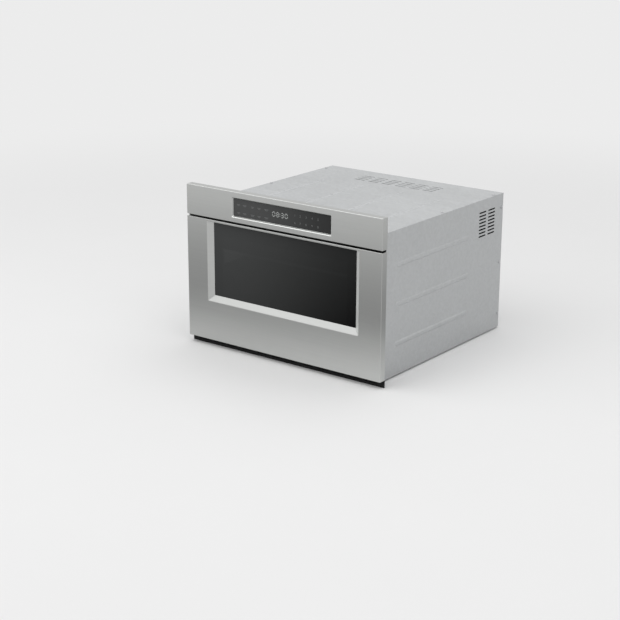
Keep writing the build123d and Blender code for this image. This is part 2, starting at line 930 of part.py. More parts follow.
# Magnetron: a yoke with cooling fins round its core, a filter box below and the antenna above
magnetron_z0 = roof_top - magnetron_height
fin_room = magnetron_height - magnetron_filter_height
with BuildPart() as magnetron:
    half = magnetron_width / 2
    near = magnetron_depth - magnetron_length / 2
    far = magnetron_depth + magnetron_length / 2
    slab(-half, half, near, far, magnetron_z0, roof_top)
    slab(
        -half + 2,
        half - 2,
        near,
        far,
        magnetron_z0 + magnetron_filter_height,
        roof_top - 3,
        Mode.SUBTRACT,
    )
    for i in range(magnetron_fins):
        z = magnetron_z0 + magnetron_filter_height + fin_room * (i + 1) / (magnetron_fins + 1)
        slab(-half + 2, half - 2, near + 4, far - 4, z, z + magnetron_fin_thickness)
    with Locations((0, back(magnetron_depth), magnetron_z0 + magnetron_height / 2)):
        Cylinder(magnetron_core_radius, magnetron_height)
    with Locations((0, back(magnetron_depth), roof_top)):
        Cylinder(antenna_radius, antenna_height, align=(Align.CENTER, Align.CENTER, Align.MIN))
magnetron.part.label = "magnetron"
export_step(magnetron.part, "parts/magnetron.step")

# ================================================================ electrical parts in the rear compartment

# High-voltage transformer on the base plate
with BuildPart() as transformer:
    core_width, core_length, core_height = transformer_core
    coil_width, coil_length, coil_height = transformer_coil
    with Locations((transformer_x, back(rear_inner - transformer_from_rear), base_z)):
        Box(core_width, core_length, core_height, align=(Align.CENTER, Align.CENTER, Align.MIN))
        Box(core_width + 24, core_length * 0.4, 2, align=(Align.CENTER, Align.CENTER, Align.MIN))
        for level in (0.3, 0.68):
            with Locations((0, 0, core_height * level)):
                Box(coil_width, coil_length, coil_height)
transformer.part.label = "transformer"
export_step(transformer.part, "parts/transformer.step")

# High-voltage capacitor beside it, with its two terminals
with BuildPart() as capacitor:
    with BuildSketch(Plane.XY.offset(base_z)):
        with Locations((capacitor_x, back(rear_inner - capacitor_from_rear))):
            SlotOverall(capacitor_length, capacitor_width)
    extrude(amount=capacitor_height)
    fillet(capacitor.edges().group_by(Axis.Z)[-1], radius=2)
    with BuildSketch(Plane.XY.offset(base_z + capacitor_height)):
        with Locations((capacitor_x, back(rear_inner - capacitor_from_rear))):
            with GridLocations(capacitor_length / 2, 1, 2, 1):
                Rectangle(6.3, 0.8)
    extrude(amount=8)
capacitor.part.label = "capacitor"
export_step(capacitor.part, "parts/capacitor.step")

# Noise filter board on standoffs at the rear panel, with its choke, fuse and capacitors
filter_half_x = filter_board_size[0] / 2
filter_half_z = filter_board_size[1] / 2
filter_front = rear_inner - filter_standoff - board_thickness
with BuildPart() as noise_filter_board:
    slab(
        filter_board_x - filter_half_x,
        filter_board_x + filter_half_x,
        filter_front,
        filter_front + board_thickness,
        filter_board_z - filter_half_z,
        filter_board_z + filter_half_z,
    )
    with BuildSketch(front_plane(filter_front + board_thickness)):
        with Locations((filter_board_x, filter_board_z)):
            with GridLocations(
                2 * (filter_half_x - filter_standoff_inset), 2 * (filter_half_z - filter_standoff_inset), 2, 2
            ):
                Circle(filter_standoff_radius)
    extrude(amount=-filter_standoff)
    for x, z, width, height, tall in (
        (-0.52, 0.25, 0.28, 0.40, 1.0),
        (0.22, 0.31, 0.13, 0.31, 0.8),
        (0.65, 0.25, 0.11, 0.28, 0.7),
        (0.0, -0.62, 0.54, 0.12, 0.45),
    ):
        slab(
            filter_board_x + (x - width) * filter_half_x,
            filter_board_x + (x + width) * filter_half_x,
            filter_front - tall * filter_part_height,
            filter_front,
            filter_board_z + (z - height) * filter_half_z,
            filter_board_z + (z + height) * filter_half_z,
        )
noise_filter_board.part.label = "noise_filter_board"
export_step(noise_filter_board.part, "parts/noise_filter_board.step")

# ================================================================ cooling fan

duct_far = rear_inner
duct_near = duct_far - fan_duct_depth
fan_bore = fan_radius + fan_tip_gap

# Square duct round the fan, against the rear panel's slots
with BuildPart() as fan_duct:
    slab(
        fan_x - fan_duct_size / 2,
        fan_x + fan_duct_size / 2,
        duct_near,
        duct_far,
        fan_z - fan_duct_size / 2,
        fan_z + fan_duct_size / 2,
    )
    fillet(fan_duct.edges().filter_by(Axis.Y), radius=6)
    with BuildSketch(front_plane(duct_near)):
        with Locations((fan_x, fan_z)):
            Circle(fan_bore)
    extrude(amount=-fan_duct_depth, mode=Mode.SUBTRACT)
fan_duct.part.label = "fan_duct"
export_step(fan_duct.part, "parts/fan_duct.step")

# Fan motor in front of the duct, on four arms
fan_motor_back = duct_near
with BuildPart() as fan_motor:
    with BuildSketch(front_plane(fan_motor_back - fan_motor_length)):
        with Locations((fan_x, fan_z)):
            Circle(fan_motor_radius)
    extrude(amount=-fan_motor_length)
    fillet(fan_motor.faces().sort_by(Axis.Y)[0].edges(), radius=3)
    with BuildSketch(front_plane(fan_motor_back - fan_arm_thickness)):
        with Locations((fan_x, fan_z)):
            Rectangle(fan_duct_size, fan_arm_width)
            Rectangle(fan_arm_width, fan_duct_size)
    extrude(amount=-fan_arm_thickness)
    with BuildSketch(front_plane(fan_motor_back - fan_shaft_length)):
        with Locations((fan_x, fan_z)):
            Circle(fan_shaft_radius + shaft_play)
    extrude(amount=-fan_shaft_length, mode=Mode.SUBTRACT)
fan_motor.part.label = "fan_motor"
export_step(fan_motor.part, "parts/fan_motor.step")

# Fan wheel: hub, pitched blades and the shaft into the motor
fan_wheel_depth = (duct_near + duct_far) / 2
fan_plane = Plane((fan_x, back(fan_wheel_depth), fan_z), x_dir=(1, 0, 0), z_dir=(0, -1, 0))
fan_blade_length = fan_radius - fan_hub_radius
with BuildPart(fan_plane) as fan_wheel:
    Cylinder(fan_hub_radius, fan_hub_height)
    with PolarLocations(fan_hub_radius + fan_blade_length / 2 - 1, fan_blades):
        Box(fan_blade_length + 2, fan_blade_width, fan_blade_thickness, rotation=(fan_blade_pitch, 0, 0))
    Cylinder(
        fan_shaft_radius,
        fan_wheel_depth - fan_motor_back + fan_shaft_length - 1,
        align=(Align.CENTER, Align.CENTER, Align.MIN),
    )
    with Locations((0, 0, 0)):
        Cylinder(fan_bore - 1, fan_hub_height * 2, mode=Mode.INTERSECT)
fan_wheel.part.label = "fan_wheel"
export_step(fan_wheel.part, "parts/fan_wheel.step")

# ================================================================ small electrical parts on the cavity

# Lamp and its holder on the left wall of the cavity
with BuildPart() as cavity_lamp:
    holder_x, holder_y, holder_z = lamp_holder_size
    outer = -(cavity_half + sheet)
    slab(
        outer - holder_x,
        outer,
        lamp_depth - holder_y / 2,
        lamp_depth + holder_y / 2,
        lamp_z - holder_z / 2,
        lamp_z + holder_z / 2,
    )
    slab(
        outer - holder_x + 2,
        outer,
        lamp_depth - holder_y / 2 + 2,
        lamp_depth + holder_y / 2 - 2,
        lamp_z - holder_z / 2 + 2,
        lamp_z + holder_z / 2 - 2,
        Mode.SUBTRACT,
    )
    with Locations((outer - holder_x / 2, back(lamp_depth - 6), lamp_z)):
        Sphere(lamp_bulb_radius)
    with BuildSketch(front_plane(lamp_depth)):
        with Locations((outer - holder_x / 2, lamp_z)):
            Circle(5)
    extrude(amount=-(holder_y / 2 - 1))
cavity_lamp.part.label = "cavity_lamp"
export_step(cavity_lamp.part, "parts/cavity_lamp.step")

# Two thermal cut-outs on the cavity's rear wall
with BuildPart() as thermal_cutouts:
    for x in (-cutout_x, cutout_x - 40):
        with BuildSketch(front_plane(cavity_rear + sheet)):
            with Locations((x, cutout_z)):
                Circle(cutout_radius)
        extrude(amount=-cutout_height)
        with BuildSketch(front_plane(cavity_rear + sheet)):
            with Locations((x, cutout_z)):
                SlotOverall(3.2 * cutout_radius, cutout_radius)
        extrude(amount=-1)
        with BuildSketch(front_plane(cavity_rear + sheet + cutout_height)):
            with Locations((x, cutout_z)):
                with GridLocations(9, 1, 2, 1):
                    Rectangle(0.8, 6.3)
        extrude(amount=-8)
thermal_cutouts.part.label = "thermal_cutouts"
export_step(thermal_cutouts.part, "parts/thermal_cutouts.step")

# Interlock switches: one behind the left hook, two side by side behind the right one
switch_places = {
    "primary": -hook_x,
    "secondary": hook_x - (switch_width + switch_gap) / 2,
    "monitor": hook_x + (switch_width + switch_gap) / 2,
}
with BuildPart() as interlock_switches:
    for x in switch_places.values():
        slab(
            x - switch_width / 2,
            x + switch_width / 2,
            switch_front,
            switch_front + switch_depth,
            roof_top,
            roof_top + switch_length,
        )
        for z in (roof_top + 5, roof_top + switch_length - 5):
            slab(
                x - 3.1,
                x + 3.1,
                switch_front + switch_depth,
                switch_front + switch_depth + 7,
                z - 0.4,
                z + 0.4,
            )
        with BuildSketch(front_plane(switch_front)):
            with Locations((x, hook_z)):
                Circle(plunger_radius + shaft_play)
        extrude(amount=-(plunger_in + plunger_travel_room), mode=Mode.SUBTRACT)
interlock_switches.part.label = "interlock_switches"
export_step(interlock_switches.part, "parts/interlock_switches.step")

# Their plungers, one piece each because each moves by itself
for name, x in switch_places.items():
    with BuildPart() as plunger:
        with BuildSketch(front_plane(switch_front - plunger_out)):
            with Locations((x, hook_z)):
                Circle(plunger_radius)
        extrude(amount=-(plunger_out + plunger_in))
        fillet(plunger.faces().sort_by(Axis.Y)[0].edges(), radius=0.6)
    plunger.part.label = f"{name}_plunger"
    export_step(plunger.part, f"parts/{name}_plunger.step")

# ================================================================ drawer front

# Stainless drawer front: a folded pan whose window sits behind a bevel on three sides
with BuildPart() as drawer_fascia:
    with BuildSketch(front_plane(0)):
        upright_rectangle(half_front, drawer_z0, drawer_z1)
    extrude(amount=-front_thickness)
    fillet(drawer_fascia.faces().sort_by(Axis.Y)[0].edges(), radius=edge_radius)
    with BuildSketch(front_plane(skin)):
        upright_rectangle(half_front - skin, drawer_z0 + skin, drawer_z1 - skin)
    extrude(amount=-(front_thickness - skin), mode=Mode.SUBTRACT)
    for wrap, top_wrap, mode in ((bevel_wrap, skin, Mode.ADD), (0, 0, Mode.SUBTRACT)):
        with BuildSketch(front_plane(0)):
            upright_rectangle(window_half + wrap, window_z0 - wrap, window_z1 + top_wrap)
        with BuildSketch(front_plane(bevel_depth)):
            upright_rectangle(glass_half + wrap, glass_z0 - wrap, window_z1 + top_wrap)
        loft(mode=mode)
drawer_fascia.part.label = "drawer_fascia"
export_step(drawer_fascia.part, "parts/drawer_fascia.step")

# Black window glass behind the bevel
with BuildPart() as window_glass:
    with BuildSketch(front_plane(bevel_depth)):
        upright_rectangle(glass_half + glass_lap, glass_z0 - glass_lap, window_z1 + skin)
    extrude(amount=-window_glass_thickness)
window_glass.part.label = "window_glass"
export_step(window_glass.part, "parts/window_glass.step")

# Pressed steel door frame: a flange inside the fascia and a pan with the window and the choke slots
with BuildPart() as door_frame:
    slab(
        -(half_front - skin),
        half_front - skin,
        door_frame_start,
        door_frame_start + door_sheet,
        drawer_z0 + skin,
        drawer_z1 - skin,
    )
    slab(
        -door_frame_half_width,
        door_frame_half_width,
        door_frame_start,
        door_back,
        door_frame_bottom,
        door_frame_top,
    )
    slab(
        -(door_frame_half_width - door_sheet),
        door_frame_half_width - door_sheet,
        door_frame_start,
        door_back - door_sheet,
        door_frame_bottom + door_sheet,
        door_frame_top - door_sheet,
        Mode.SUBTRACT,
    )
    slab(
        -(screen_half_width + door_sheet),
        screen_half_width + door_sheet,
        door_back - screen_seat_depth,
        door_back,
        screen_bottom - door_sheet,
        screen_top + door_sheet,
    )
    slab(
        -screen_half_width,
        screen_half_width,
        door_back - screen_seat_depth,
        door_back,
        screen_bottom,
        screen_top,
        Mode.SUBTRACT,
    )
    choke_x = cavity_half - choke_slot_offset
    for side in (-1, 1):
        slab(
            side * choke_x - choke_slot / 2,
            side * choke_x + choke_slot / 2,
            door_back - door_sheet,
            door_back,
            screen_bottom,
            screen_top,
            Mode.SUBTRACT,
        )
        slab(
            min(side * choke_bridge, side * (screen_half_width - choke_bridge)),
            max(side * choke_bridge, side * (screen_half_width - choke_bridge)),
            door_back - door_sheet,
            door_back,
            cavity_roof_z - choke_slot / 2,
            cavity_roof_z + choke_slot / 2,
            Mode.SUBTRACT,
        )
    for place in tray_screws + arm_screws:
        screw_hole(place)
door_frame.part.label = "door_frame"
export_step(door_frame.part, "parts/door_frame.step")

# Perforated metal screen in the door, which keeps the microwaves in
with BuildPart() as window_screen:
    with BuildSketch(front_plane(door_back - screen_seat_depth - screen_thickness)):
        upright_rectangle(screen_half_width + screen_lap, screen_bottom - screen_lap, screen_top + screen_lap)
    extrude(amount=-screen_thickness)
window_screen.part.label = "window_screen"
export_step(window_screen.part, "parts/window_screen.step")

# Clear inner window
with BuildPart() as inner_window:
    with BuildSketch(front_plane(door_back - inner_window_thickness)):
        upright_rectangle(screen_half_width - window_fit, screen_bottom + window_fit, screen_top - window_fit)
    extrude(amount=-inner_window_thickness)
inner_window.part.label = "inner_window"
export_step(inner_window.part, "parts/inner_window.step")

# Plastic cover over the choke slots, which also holds the inner window
with BuildPart() as choke_cover:
    with BuildSketch(front_plane(door_back)):
        upright_rectangle(choke_half, choke_z0, choke_z1 - choke_cover_lip)
    extrude(amount=-choke_cover_thickness)
    with BuildSketch(front_plane(door_back)):
        upright_rectangle(
            screen_half_width - choke_cover_lip, screen_bottom + choke_cover_lip, screen_top - choke_cover_lip
        )
    extrude(amount=-choke_cover_thickness, mode=Mode.SUBTRACT)
    for place in tray_screws:
        screw_hole(place)
choke_cover.part.label = "choke_cover"
export_step(choke_cover.part, "parts/choke_cover.step")

# ================================================================ drawer tray

# Steel pan that carries the tray from the door, with raised beads under the glass floor
with BuildPart() as tray_support:
    slab(-tray_outer, tray_outer, choke_back, tray_rear + tray_wall, tray_z0, tray_pan_top)
    slab(-tray_outer, tray_outer, choke_back, tray_front, tray_z0, tray_z0 + tray_flange_height)
    with BuildSketch(Plane.XY.offset(tray_pan_top)):
        with Locations((0, back((tray_front + tray_rear) / 2))):
            with GridLocations(tray_bead_pitch, 1, 3, 1):
                Rectangle(tray_bead_width, tray_clear_depth - 60)
    extrude(amount=tray_bead_height, taper=20)
    for place in tray_screws:
        screw_hole(place)
tray_support.part.label = "tray_support"
export_step(tray_support.part, "parts/tray_support.step")

# Ceramic glass floor
with BuildPart() as tray_floor:
    slab(
        -(tray_half - ceramic_fit),
        tray_half - ceramic_fit,
        tray_front + ceramic_fit,
        tray_rear - ceramic_fit,
        ceramic_z0,
        ceramic_z1,
    )
    fillet(tray_floor.edges().filter_by(Axis.Z), radius=8)
    chamfer(tray_floor.faces().sort_by(Axis.Z)[-1].edges(), length=0.8)
tray_floor.part.label = "tray_floor"
export_step(tray_floor.part, "parts/tray_floor.step")

# Side walls of the tray, each with a foot on the pan and a rolled top edge
tray_wall_top = ceramic_z1 + tray_wall_height
with BuildPart() as tray_side_walls:
    for side in (-1, 1):
        with BuildSketch(front_plane(tray_front)):
            with Locations((side * (tray_half + tray_wall / 2), (tray_pan_top + tray_wall_top) / 2)):
                Rectangle(tray_wall, tray_wall_top - tray_pan_top)
            with Locations((side * (tray_outer - tray_foot_width / 2), tray_pan_top + tray_wall / 2)):
                Rectangle(tray_foot_width, tray_wall)
            with Locations((side * (tray_half + tray_wall / 2), tray_wall_top)):
                Circle(tray_wall * 1.6)
        extrude(amount=-tray_clear_depth)
tray_side_walls.part.label = "tray_side_walls"
export_step(tray_side_walls.part, "parts/tray_side_walls.step")

# Rear wall of the tray
with BuildPart() as tray_rear_wall:
    with BuildSketch(Plane.YZ.offset(-tray_outer)):
        with Locations((back(tray_rear + tray_wall / 2), (tray_pan_top + tray_wall_top) / 2)):
            Rectangle(tray_wall, tray_wall_top - tray_pan_top)
        with Locations((back(tray_rear + tray_wall / 2), tray_wall_top)):
            Circle(tray_wall * 1.6)
    extrude(amount=2 * tray_outer)
    for side in (-1, 1):
        slab(
            side * tray_outer - 2.6 * tray_wall,
            side * tray_outer + 2.6 * tray_wall,
            tray_rear - 3 * tray_wall,
            tray_rear,
            tray_pan_top,
            tray_wall_top + 3 * tray_wall,
            Mode.SUBTRACT,
        )
tray_rear_wall.part.label = "tray_rear_wall"
export_step(tray_rear_wall.part, "parts/tray_rear_wall.step")

# ================================================================ latch hooks, arms, rack

# Two latch hooks on the door frame, which reach through the face plate to the switches
hook_tip = switch_front - plunger_out - hook_tip_gap
with BuildPart() as latch_hooks:
    for side in (-1, 1):
        with BuildSketch(Plane.YZ.offset(side * hook_x - hook_width / 2)):
            with BuildLine():
                Polyline(
                    (back(door_back), hook_z - hook_height / 2),
                    (back(hook_tip), hook_z - hook_height / 2),
                    (back(hook_tip), hook_z + hook_height / 2),
                    (back(hook_tip - hook_nose), hook_z + hook_height / 2),
                    (back(hook_tip - hook_nose), hook_z + hook_height / 2 - hook_nose),
                    (back(door_back), hook_z + hook_height / 2 - hook_nose),
                    close=True,
                )
            make_face()
        extrude(amount=hook_width)
latch_hooks.part.label = "latch_hooks"
export_step(latch_hooks.part, "parts/latch_hooks.step")

# Arms that join the door to the inner rails; the right one carries the rack under its shelf
with BuildPart() as rail_arms:
    for side in (-1, 1):
        slab(
            min(side * arm_x, side * inner_rail_x),
            max(side * arm_x, side * inner_rail_x),
            door_back,
            door_back + rail_arm_length,
            rail_arm_z0,
            arm_top,
        )
        slab(
            min(side * (arm_x - rail_arm_shelf), side * arm_x),
            max(side * (arm_x - rail_arm_shelf), side * arm_x),
            door_back + rail_arm_thickness,
            door_back + rail_arm_length,
            rack_top,
            arm_top,
        )
        slab(
            min(side * (arm_x - rail_arm_foot), side * arm_x),
            max(side * (arm_x - rail_arm_foot), side * arm_x),
            door_back,
            door_back + rail_arm_thickness,
            rail_arm_z0,
            rail_arm_z0 + rail_arm_foot_height,
        )
    for place in arm_screws:
        screw_hole(place)
rail_arms.part.label = "rail_arms"
export_step(rail_arms.part, "parts/rail_arms.step")

# Toothed rack under the right arm. A gap between two teeth lies over the pinion's middle when the drawer is closed.
rack_start = face_depth + 2.0
rack_end = pinion_depth + drawer_travel + rack_end_margin
teeth_before = math.floor((pinion_depth - rack_start) / tooth_pitch - 0.5)
teeth_after = math.floor((rack_end - pinion_depth) / tooth_pitch - 0.5)
tooth_rise = 1.25 * tooth_module
tooth_tip = tooth_module
flank = math.tan(math.radians(20))
half_tooth = tooth_pitch / 4 - mesh_backlash / 2
with BuildPart() as drive_rack:
    slab(
        rack_x - rack_width / 2,
        rack_x + rack_width / 2,
        rack_start,
        rack_end,
        rack_root_z,
        rack_top,
    )
    with BuildSketch(Plane.YZ.offset(rack_x - rack_width / 2)):
        for i in range(-teeth_before, teeth_after):
            y = back(pinion_depth + (i + 0.5) * tooth_pitch)
            with BuildLine():
                Polyline(
                    (y - half_tooth - tooth_rise * flank, rack_root_z),
                    (y - half_tooth + tooth_tip * flank, rack_pitch_z - tooth_tip),
                    (y + half_tooth - tooth_tip * flank, rack_pitch_z - tooth_tip),
                    (y + half_tooth + tooth_rise * flank, rack_root_z),
                    close=True,
                )
            make_face()
    extrude(amount=rack_width)
drive_rack.part.label = "drive_rack"
export_step(drive_rack.part, "parts/drive_rack.step")

# Pinion on the gearbox's shaft, with one tooth pointing up into the rack
pinion_root = pinion_pitch_radius - 1.25 * tooth_module
pinion_tip = pinion_pitch_radius + tooth_tip
pinion_half_tooth = tooth_pitch / 4 - mesh_backlash / 2
pinion_y = back(pinion_depth)
pinion_plane = Plane((pinion_x0, pinion_y, pinion_z), x_dir=(0, 1, 0), z_dir=(1, 0, 0))
with BuildPart() as drive_pinion:
    with BuildSketch(pinion_plane):
        Circle(pinion_root)
        with PolarLocations(0, pinion_teeth, start_angle=90):
            Polygon(
                (pinion_root - 0.8, -(pinion_half_tooth + 1.9 * flank)),
                (pinion_pitch_radius, -pinion_half_tooth),
                (pinion_tip, -(pinion_half_tooth - 1.35 * tooth_tip * flank)),
                (pinion_tip, pinion_half_tooth - 1.35 * tooth_tip * flank),
                (pinion_pitch_radius, pinion_half_tooth),
                (pinion_root - 0.8, pinion_half_tooth + 1.9 * flank),
                align=None,
            )
    extrude(amount=pinion_width)
    with BuildSketch(pinion_plane):
        Circle(pinion_shaft_radius)
    extrude(amount=-(pinion_x0 - gearbox_x1 + pinion_shaft_in_gearbox))
drive_pinion.part.label = "drive_pinion"
export_step(drive_pinion.part, "parts/drive_pinion.step")

# Drive motor and gearbox on a foot plate, under the right front corner of the cavity
gearbox_z1 = pinion_z + gearbox_height / 2
with BuildPart() as drive_motor:
    slab(
        gearbox_x0,
        gearbox_x1,
        pinion_depth - gearbox_length / 2 + 8,
        pinion_depth + gearbox_length / 2 + 8,
        gearbox_z1 - gearbox_height,
        gearbox_z1,
    )
    fillet(drive_motor.edges().filter_by(Axis.X), radius=5)
    with BuildSketch(Plane.YZ.offset(gearbox_x0)):
        with Locations((back(pinion_depth + 18), pinion_z)):
            Circle(drive_motor_radius)
    extrude(amount=-drive_motor_length)
    slab(
        gearbox_x0 - 8,
        gearbox_x1,
        pinion_depth - gearbox_length / 2 + 14,
        pinion_depth + gearbox_length / 2 + 2,
        base_z,
        base_z + 3,
    )
    slab(
        gearbox_x0 + 6,
        gearbox_x1 - 6,
        pinion_depth - gearbox_length / 2 + 18,
        pinion_depth + gearbox_length / 2 - 2,
        base_z,
        gearbox_z1 - gearbox_height + 1,
    )
    with BuildSketch(Plane.YZ.offset(gearbox_x1)):
        with Locations((back(pinion_depth), pinion_z)):
            Circle(pinion_shaft_radius + pinion_bore_play)
    extrude(amount=-(pinion_shaft_in_gearbox + 1), mode=Mode.SUBTRACT)
drive_motor.part.label = "drive_motor"
export_step(drive_motor.part, "parts/drive_motor.step")


# ================================================================ telescopic rails


def rail(side, level, web_out):
    """One member of a telescopic rail: a channel. Level 0 is fixed, 1 is the middle one and 2 is on the drawer."""
    height = rail_height - 2 * level * rail_step
    with BuildPart() as member:
        if web_out:
            web_x = case_inner - level * (rail_sheet + 2.6) - rail_sheet / 2
            tip_x = inner_rail_x + rail_sheet + 0.3
            flange_from, flange_to = tip_x, web_x + rail_sheet / 2
        else:
            web_x = inner_rail_x + rail_sheet / 2
            flange_from = inner_rail_x
            flange_to = case_inner - 2 * rail_sheet - 2.6 - 1.0
        slab(
            min(side * (web_x - rail_sheet / 2), side * (web_x + rail_sheet / 2)),
            max(side * (web_x - rail_sheet / 2), side * (web_x + rail_sheet / 2)),
            rail_start,
            rail_start + rail_length,
            rail_middle_z - height / 2,
            rail_middle_z + height / 2,
        )
        for low in (rail_middle_z - height / 2, rail_middle_z + height / 2 - rail_sheet):
            slab(
                min(side * flange_from, side * flange_to),
                max(side * flange_from, side * flange_to),
                rail_start,
                rail_start + rail_length,
                low,
                low + rail_sheet,
            )
    return member.part


for side, side_name in ((-1, "left"), (1, "right")):
    for level, member_name in ((0, "fixed"), (1, "middle"), (2, "inner")):
        member = rail(side, level, level < 2)
        member.label = f"{member_name}_rail_{side_name}"
        export_step(member, f"parts/{member_name}_rail_{side_name}.step")

# Screws that hold the tray and the arms to the door frame
with BuildPart() as drawer_screws:
    for place in tray_screws + arm_screws:
        screw(place)
drawer_screws.part.label = "drawer_screws"
export_step(drawer_screws.part, "parts/drawer_screws.step")
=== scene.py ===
"""A built-in microwave drawer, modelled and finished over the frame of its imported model."""

import math

import bmesh
import bpy
from bpy.props import FloatProperty, FloatVectorProperty, PointerProperty
from bpy.types import NodeSocket, Operator, Panel, PropertyGroup
from mathutils import Matrix, Vector


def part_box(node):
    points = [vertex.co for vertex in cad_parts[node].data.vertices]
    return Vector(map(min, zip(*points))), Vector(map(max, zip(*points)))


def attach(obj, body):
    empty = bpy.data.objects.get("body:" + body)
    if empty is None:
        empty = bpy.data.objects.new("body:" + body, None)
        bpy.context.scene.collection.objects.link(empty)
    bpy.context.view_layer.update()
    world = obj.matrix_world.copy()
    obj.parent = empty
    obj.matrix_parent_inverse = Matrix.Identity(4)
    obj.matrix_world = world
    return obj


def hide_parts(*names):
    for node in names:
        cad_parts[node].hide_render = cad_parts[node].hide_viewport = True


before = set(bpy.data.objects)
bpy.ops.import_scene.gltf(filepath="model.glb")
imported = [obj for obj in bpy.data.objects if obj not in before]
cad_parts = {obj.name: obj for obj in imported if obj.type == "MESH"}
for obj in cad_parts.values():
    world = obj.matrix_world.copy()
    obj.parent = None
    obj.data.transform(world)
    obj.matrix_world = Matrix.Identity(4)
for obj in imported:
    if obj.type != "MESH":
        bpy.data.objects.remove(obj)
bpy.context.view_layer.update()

bl_info = {
    "name": "Microwave drawer",
    "version": (1, 0, 0),
    "blender": (4, 5, 0),
    "location": "3D View > Sidebar > Microwave drawer",
    "description": "Models and finishes the pieces of a built-in microwave drawer",
    "category": "Object",
}

MM = 0.001
QUARTER = math.pi / 2
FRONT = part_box("drawer_fascia")[0].y
DISPLAY_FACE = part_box("display_glass")[0].y
ALONG = 0.9  # a face or an edge looks along an axis where its direction has more than this of it


# -------- modelling


def clear_selection():
    """Goes back to object mode with nothing selected."""
    if bpy.context.mode != "OBJECT":
        bpy.ops.object.mode_set(mode="OBJECT")
    bpy.ops.object.select_all(action="DESELECT")


def take(*objects):
    """Selects these objects only, with the first one active."""
    clear_selection()
    for obj in objects:
        obj.select_set(True)
    bpy.context.view_layer.objects.active = objects[0]


def named(name):
    """The object that an operator has just added, with its place put in its mesh."""
    obj = bpy.context.object
    obj.name = name
    bpy.ops.object.transform_apply(location=True, rotation=True, scale=True)
    return obj


def joined(name, pieces):
    """Several objects as one."""
    take(*pieces)
    bpy.ops.object.join()
    pieces[0].name = name
    return pieces[0]


def axis_vector(axis, length=1.0):
    """A vector of this length along an axis."""
    return Vector([length if letter == axis else 0.0 for letter in "XYZ"])


class Editing:
    """Edit mode on one object, for a with block, with faces, edges or points picked by their place."""

    def __init__(self, obj):
        self.obj = obj

    def __enter__(self):
        take(self.obj)
        bpy.ops.object.mode_set(mode="EDIT")
        bpy.ops.mesh.select_mode(type="FACE")
        bpy.ops.mesh.select_all(action="DESELECT")
        return self

    def __exit__(self, *error):
        bpy.ops.object.mode_set(mode="OBJECT")

    def _pick(self, kind, test):
        bpy.ops.mesh.select_mode(type=kind)
        bpy.ops.mesh.select_all(action="DESELECT")
        shape = bmesh.from_edit_mesh(self.obj.data)
        parts = {"FACE": shape.faces, "EDGE": shape.edges, "VERT": shape.verts}[kind]
        picked = [part for part in parts if test(part)]
        for part in picked:
            part.select_set(True)
        shape.select_flush_mode()
        bmesh.update_edit_mesh(self.obj.data)
        if not picked:
            raise RuntimeError(f"nothing was picked on {self.obj.name}")

    def faces(self, test):
        """Picks faces by their middle and normal."""
        self._pick("FACE", lambda face: test(face.calc_center_median(), face.normal))

    def points(self, test):
        """Picks points by their place."""
        self._pick("VERT", lambda point: test(point.co))

    def round_corners(self, axis, radius, segments):
        """Rounds the edges that run along an axis."""
        way = "XYZ".index(axis)

        def runs_along(edge):
            return abs((edge.verts[1].co - edge.verts[0].co).normalized()[way]) > ALONG

        self._pick("EDGE", runs_along)
        bpy.ops.mesh.bevel(offset=radius, segments=segments, affect="EDGES")

    def cut(self, axis, where):
        """Cuts what is picked with a plane across an axis."""
        bpy.ops.mesh.bisect(plane_co=axis_vector(axis, where), plane_no=axis_vector(axis))

    def inset(self, *steps):
        """Insets what is picked, each step by its width and its rise."""
        for width, rise in steps:
            bpy.ops.mesh.inset(thickness=width, depth=rise)


def set_all(thing, **settings):
    """Sets several properties, in their order."""
    for name, value in settings.items():
        setattr(thing, name, value)


def modified(obj, kind, **settings):
    """Applies one modifier to an object."""
    take(obj)
    bpy.ops.object.modifier_add(type=kind)
    modifier = obj.modifiers[-1]
    set_all(modifier, **settings)
    bpy.ops.object.modifier_apply(modifier=modifier.name)
    return obj


def rounded(obj, radius, segments=2, angle=50):
    """Rounds the sharp edges of an object."""
    limit = math.radians(angle)
    return modified(obj, "BEVEL", width=radius, segments=segments, limit_method="ANGLE", angle_limit=limit)


def smoothed(obj, angle=50):
    """Shades curved faces smooth and keeps flat ones flat."""
    take(obj)
    bpy.ops.object.shade_smooth_by_angle(angle=math.radians(angle))
    return modified(obj, "WEIGHTED_NORMAL", keep_sharp=True, weight=60)


def block(name, low, high):
    """A box between two corners."""
    clear_selection()
    low, high = Vector(low), Vector(high)
    bpy.ops.mesh.primitive_cube_add(size=1, location=(low + high) / 2, scale=high - low)
    return named(name)


def pad(name, centre, radius, thickness, axis="Y"):
    """A round pad with a rounded rim and a shallow dish in each end."""
    clear_selection()
    bpy.ops.mesh.primitive_cylinder_add(
        vertices=28, radius=radius, depth=thickness, location=centre,
        rotation={"X": (0, QUARTER, 0), "Y": (QUARTER, 0, 0)}[axis],
    )
    disc = named(name)
    way = "XYZ".index(axis)
    with Editing(disc) as edit:
        edit.faces(lambda middle, normal: abs(normal[way]) > ALONG)
        edit.inset((radius * 0.3, 0), (radius * 0.12, -thickness * 0.12))
    return smoothed(rounded(disc, min(radius, thickness) * 0.2))


def coat(obj, material):
    """Gives an object one material, by its name."""
    obj.data.materials.clear()
    obj.data.materials.append(bpy.data.materials[material])


def placed(obj, material, body, slot, *nodes):
    """Gives a finished piece its material, the body that it moves with and the nodes that it stands for."""
    coat(obj, material)
    if nodes:
        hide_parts(*nodes)
    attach(obj, body)


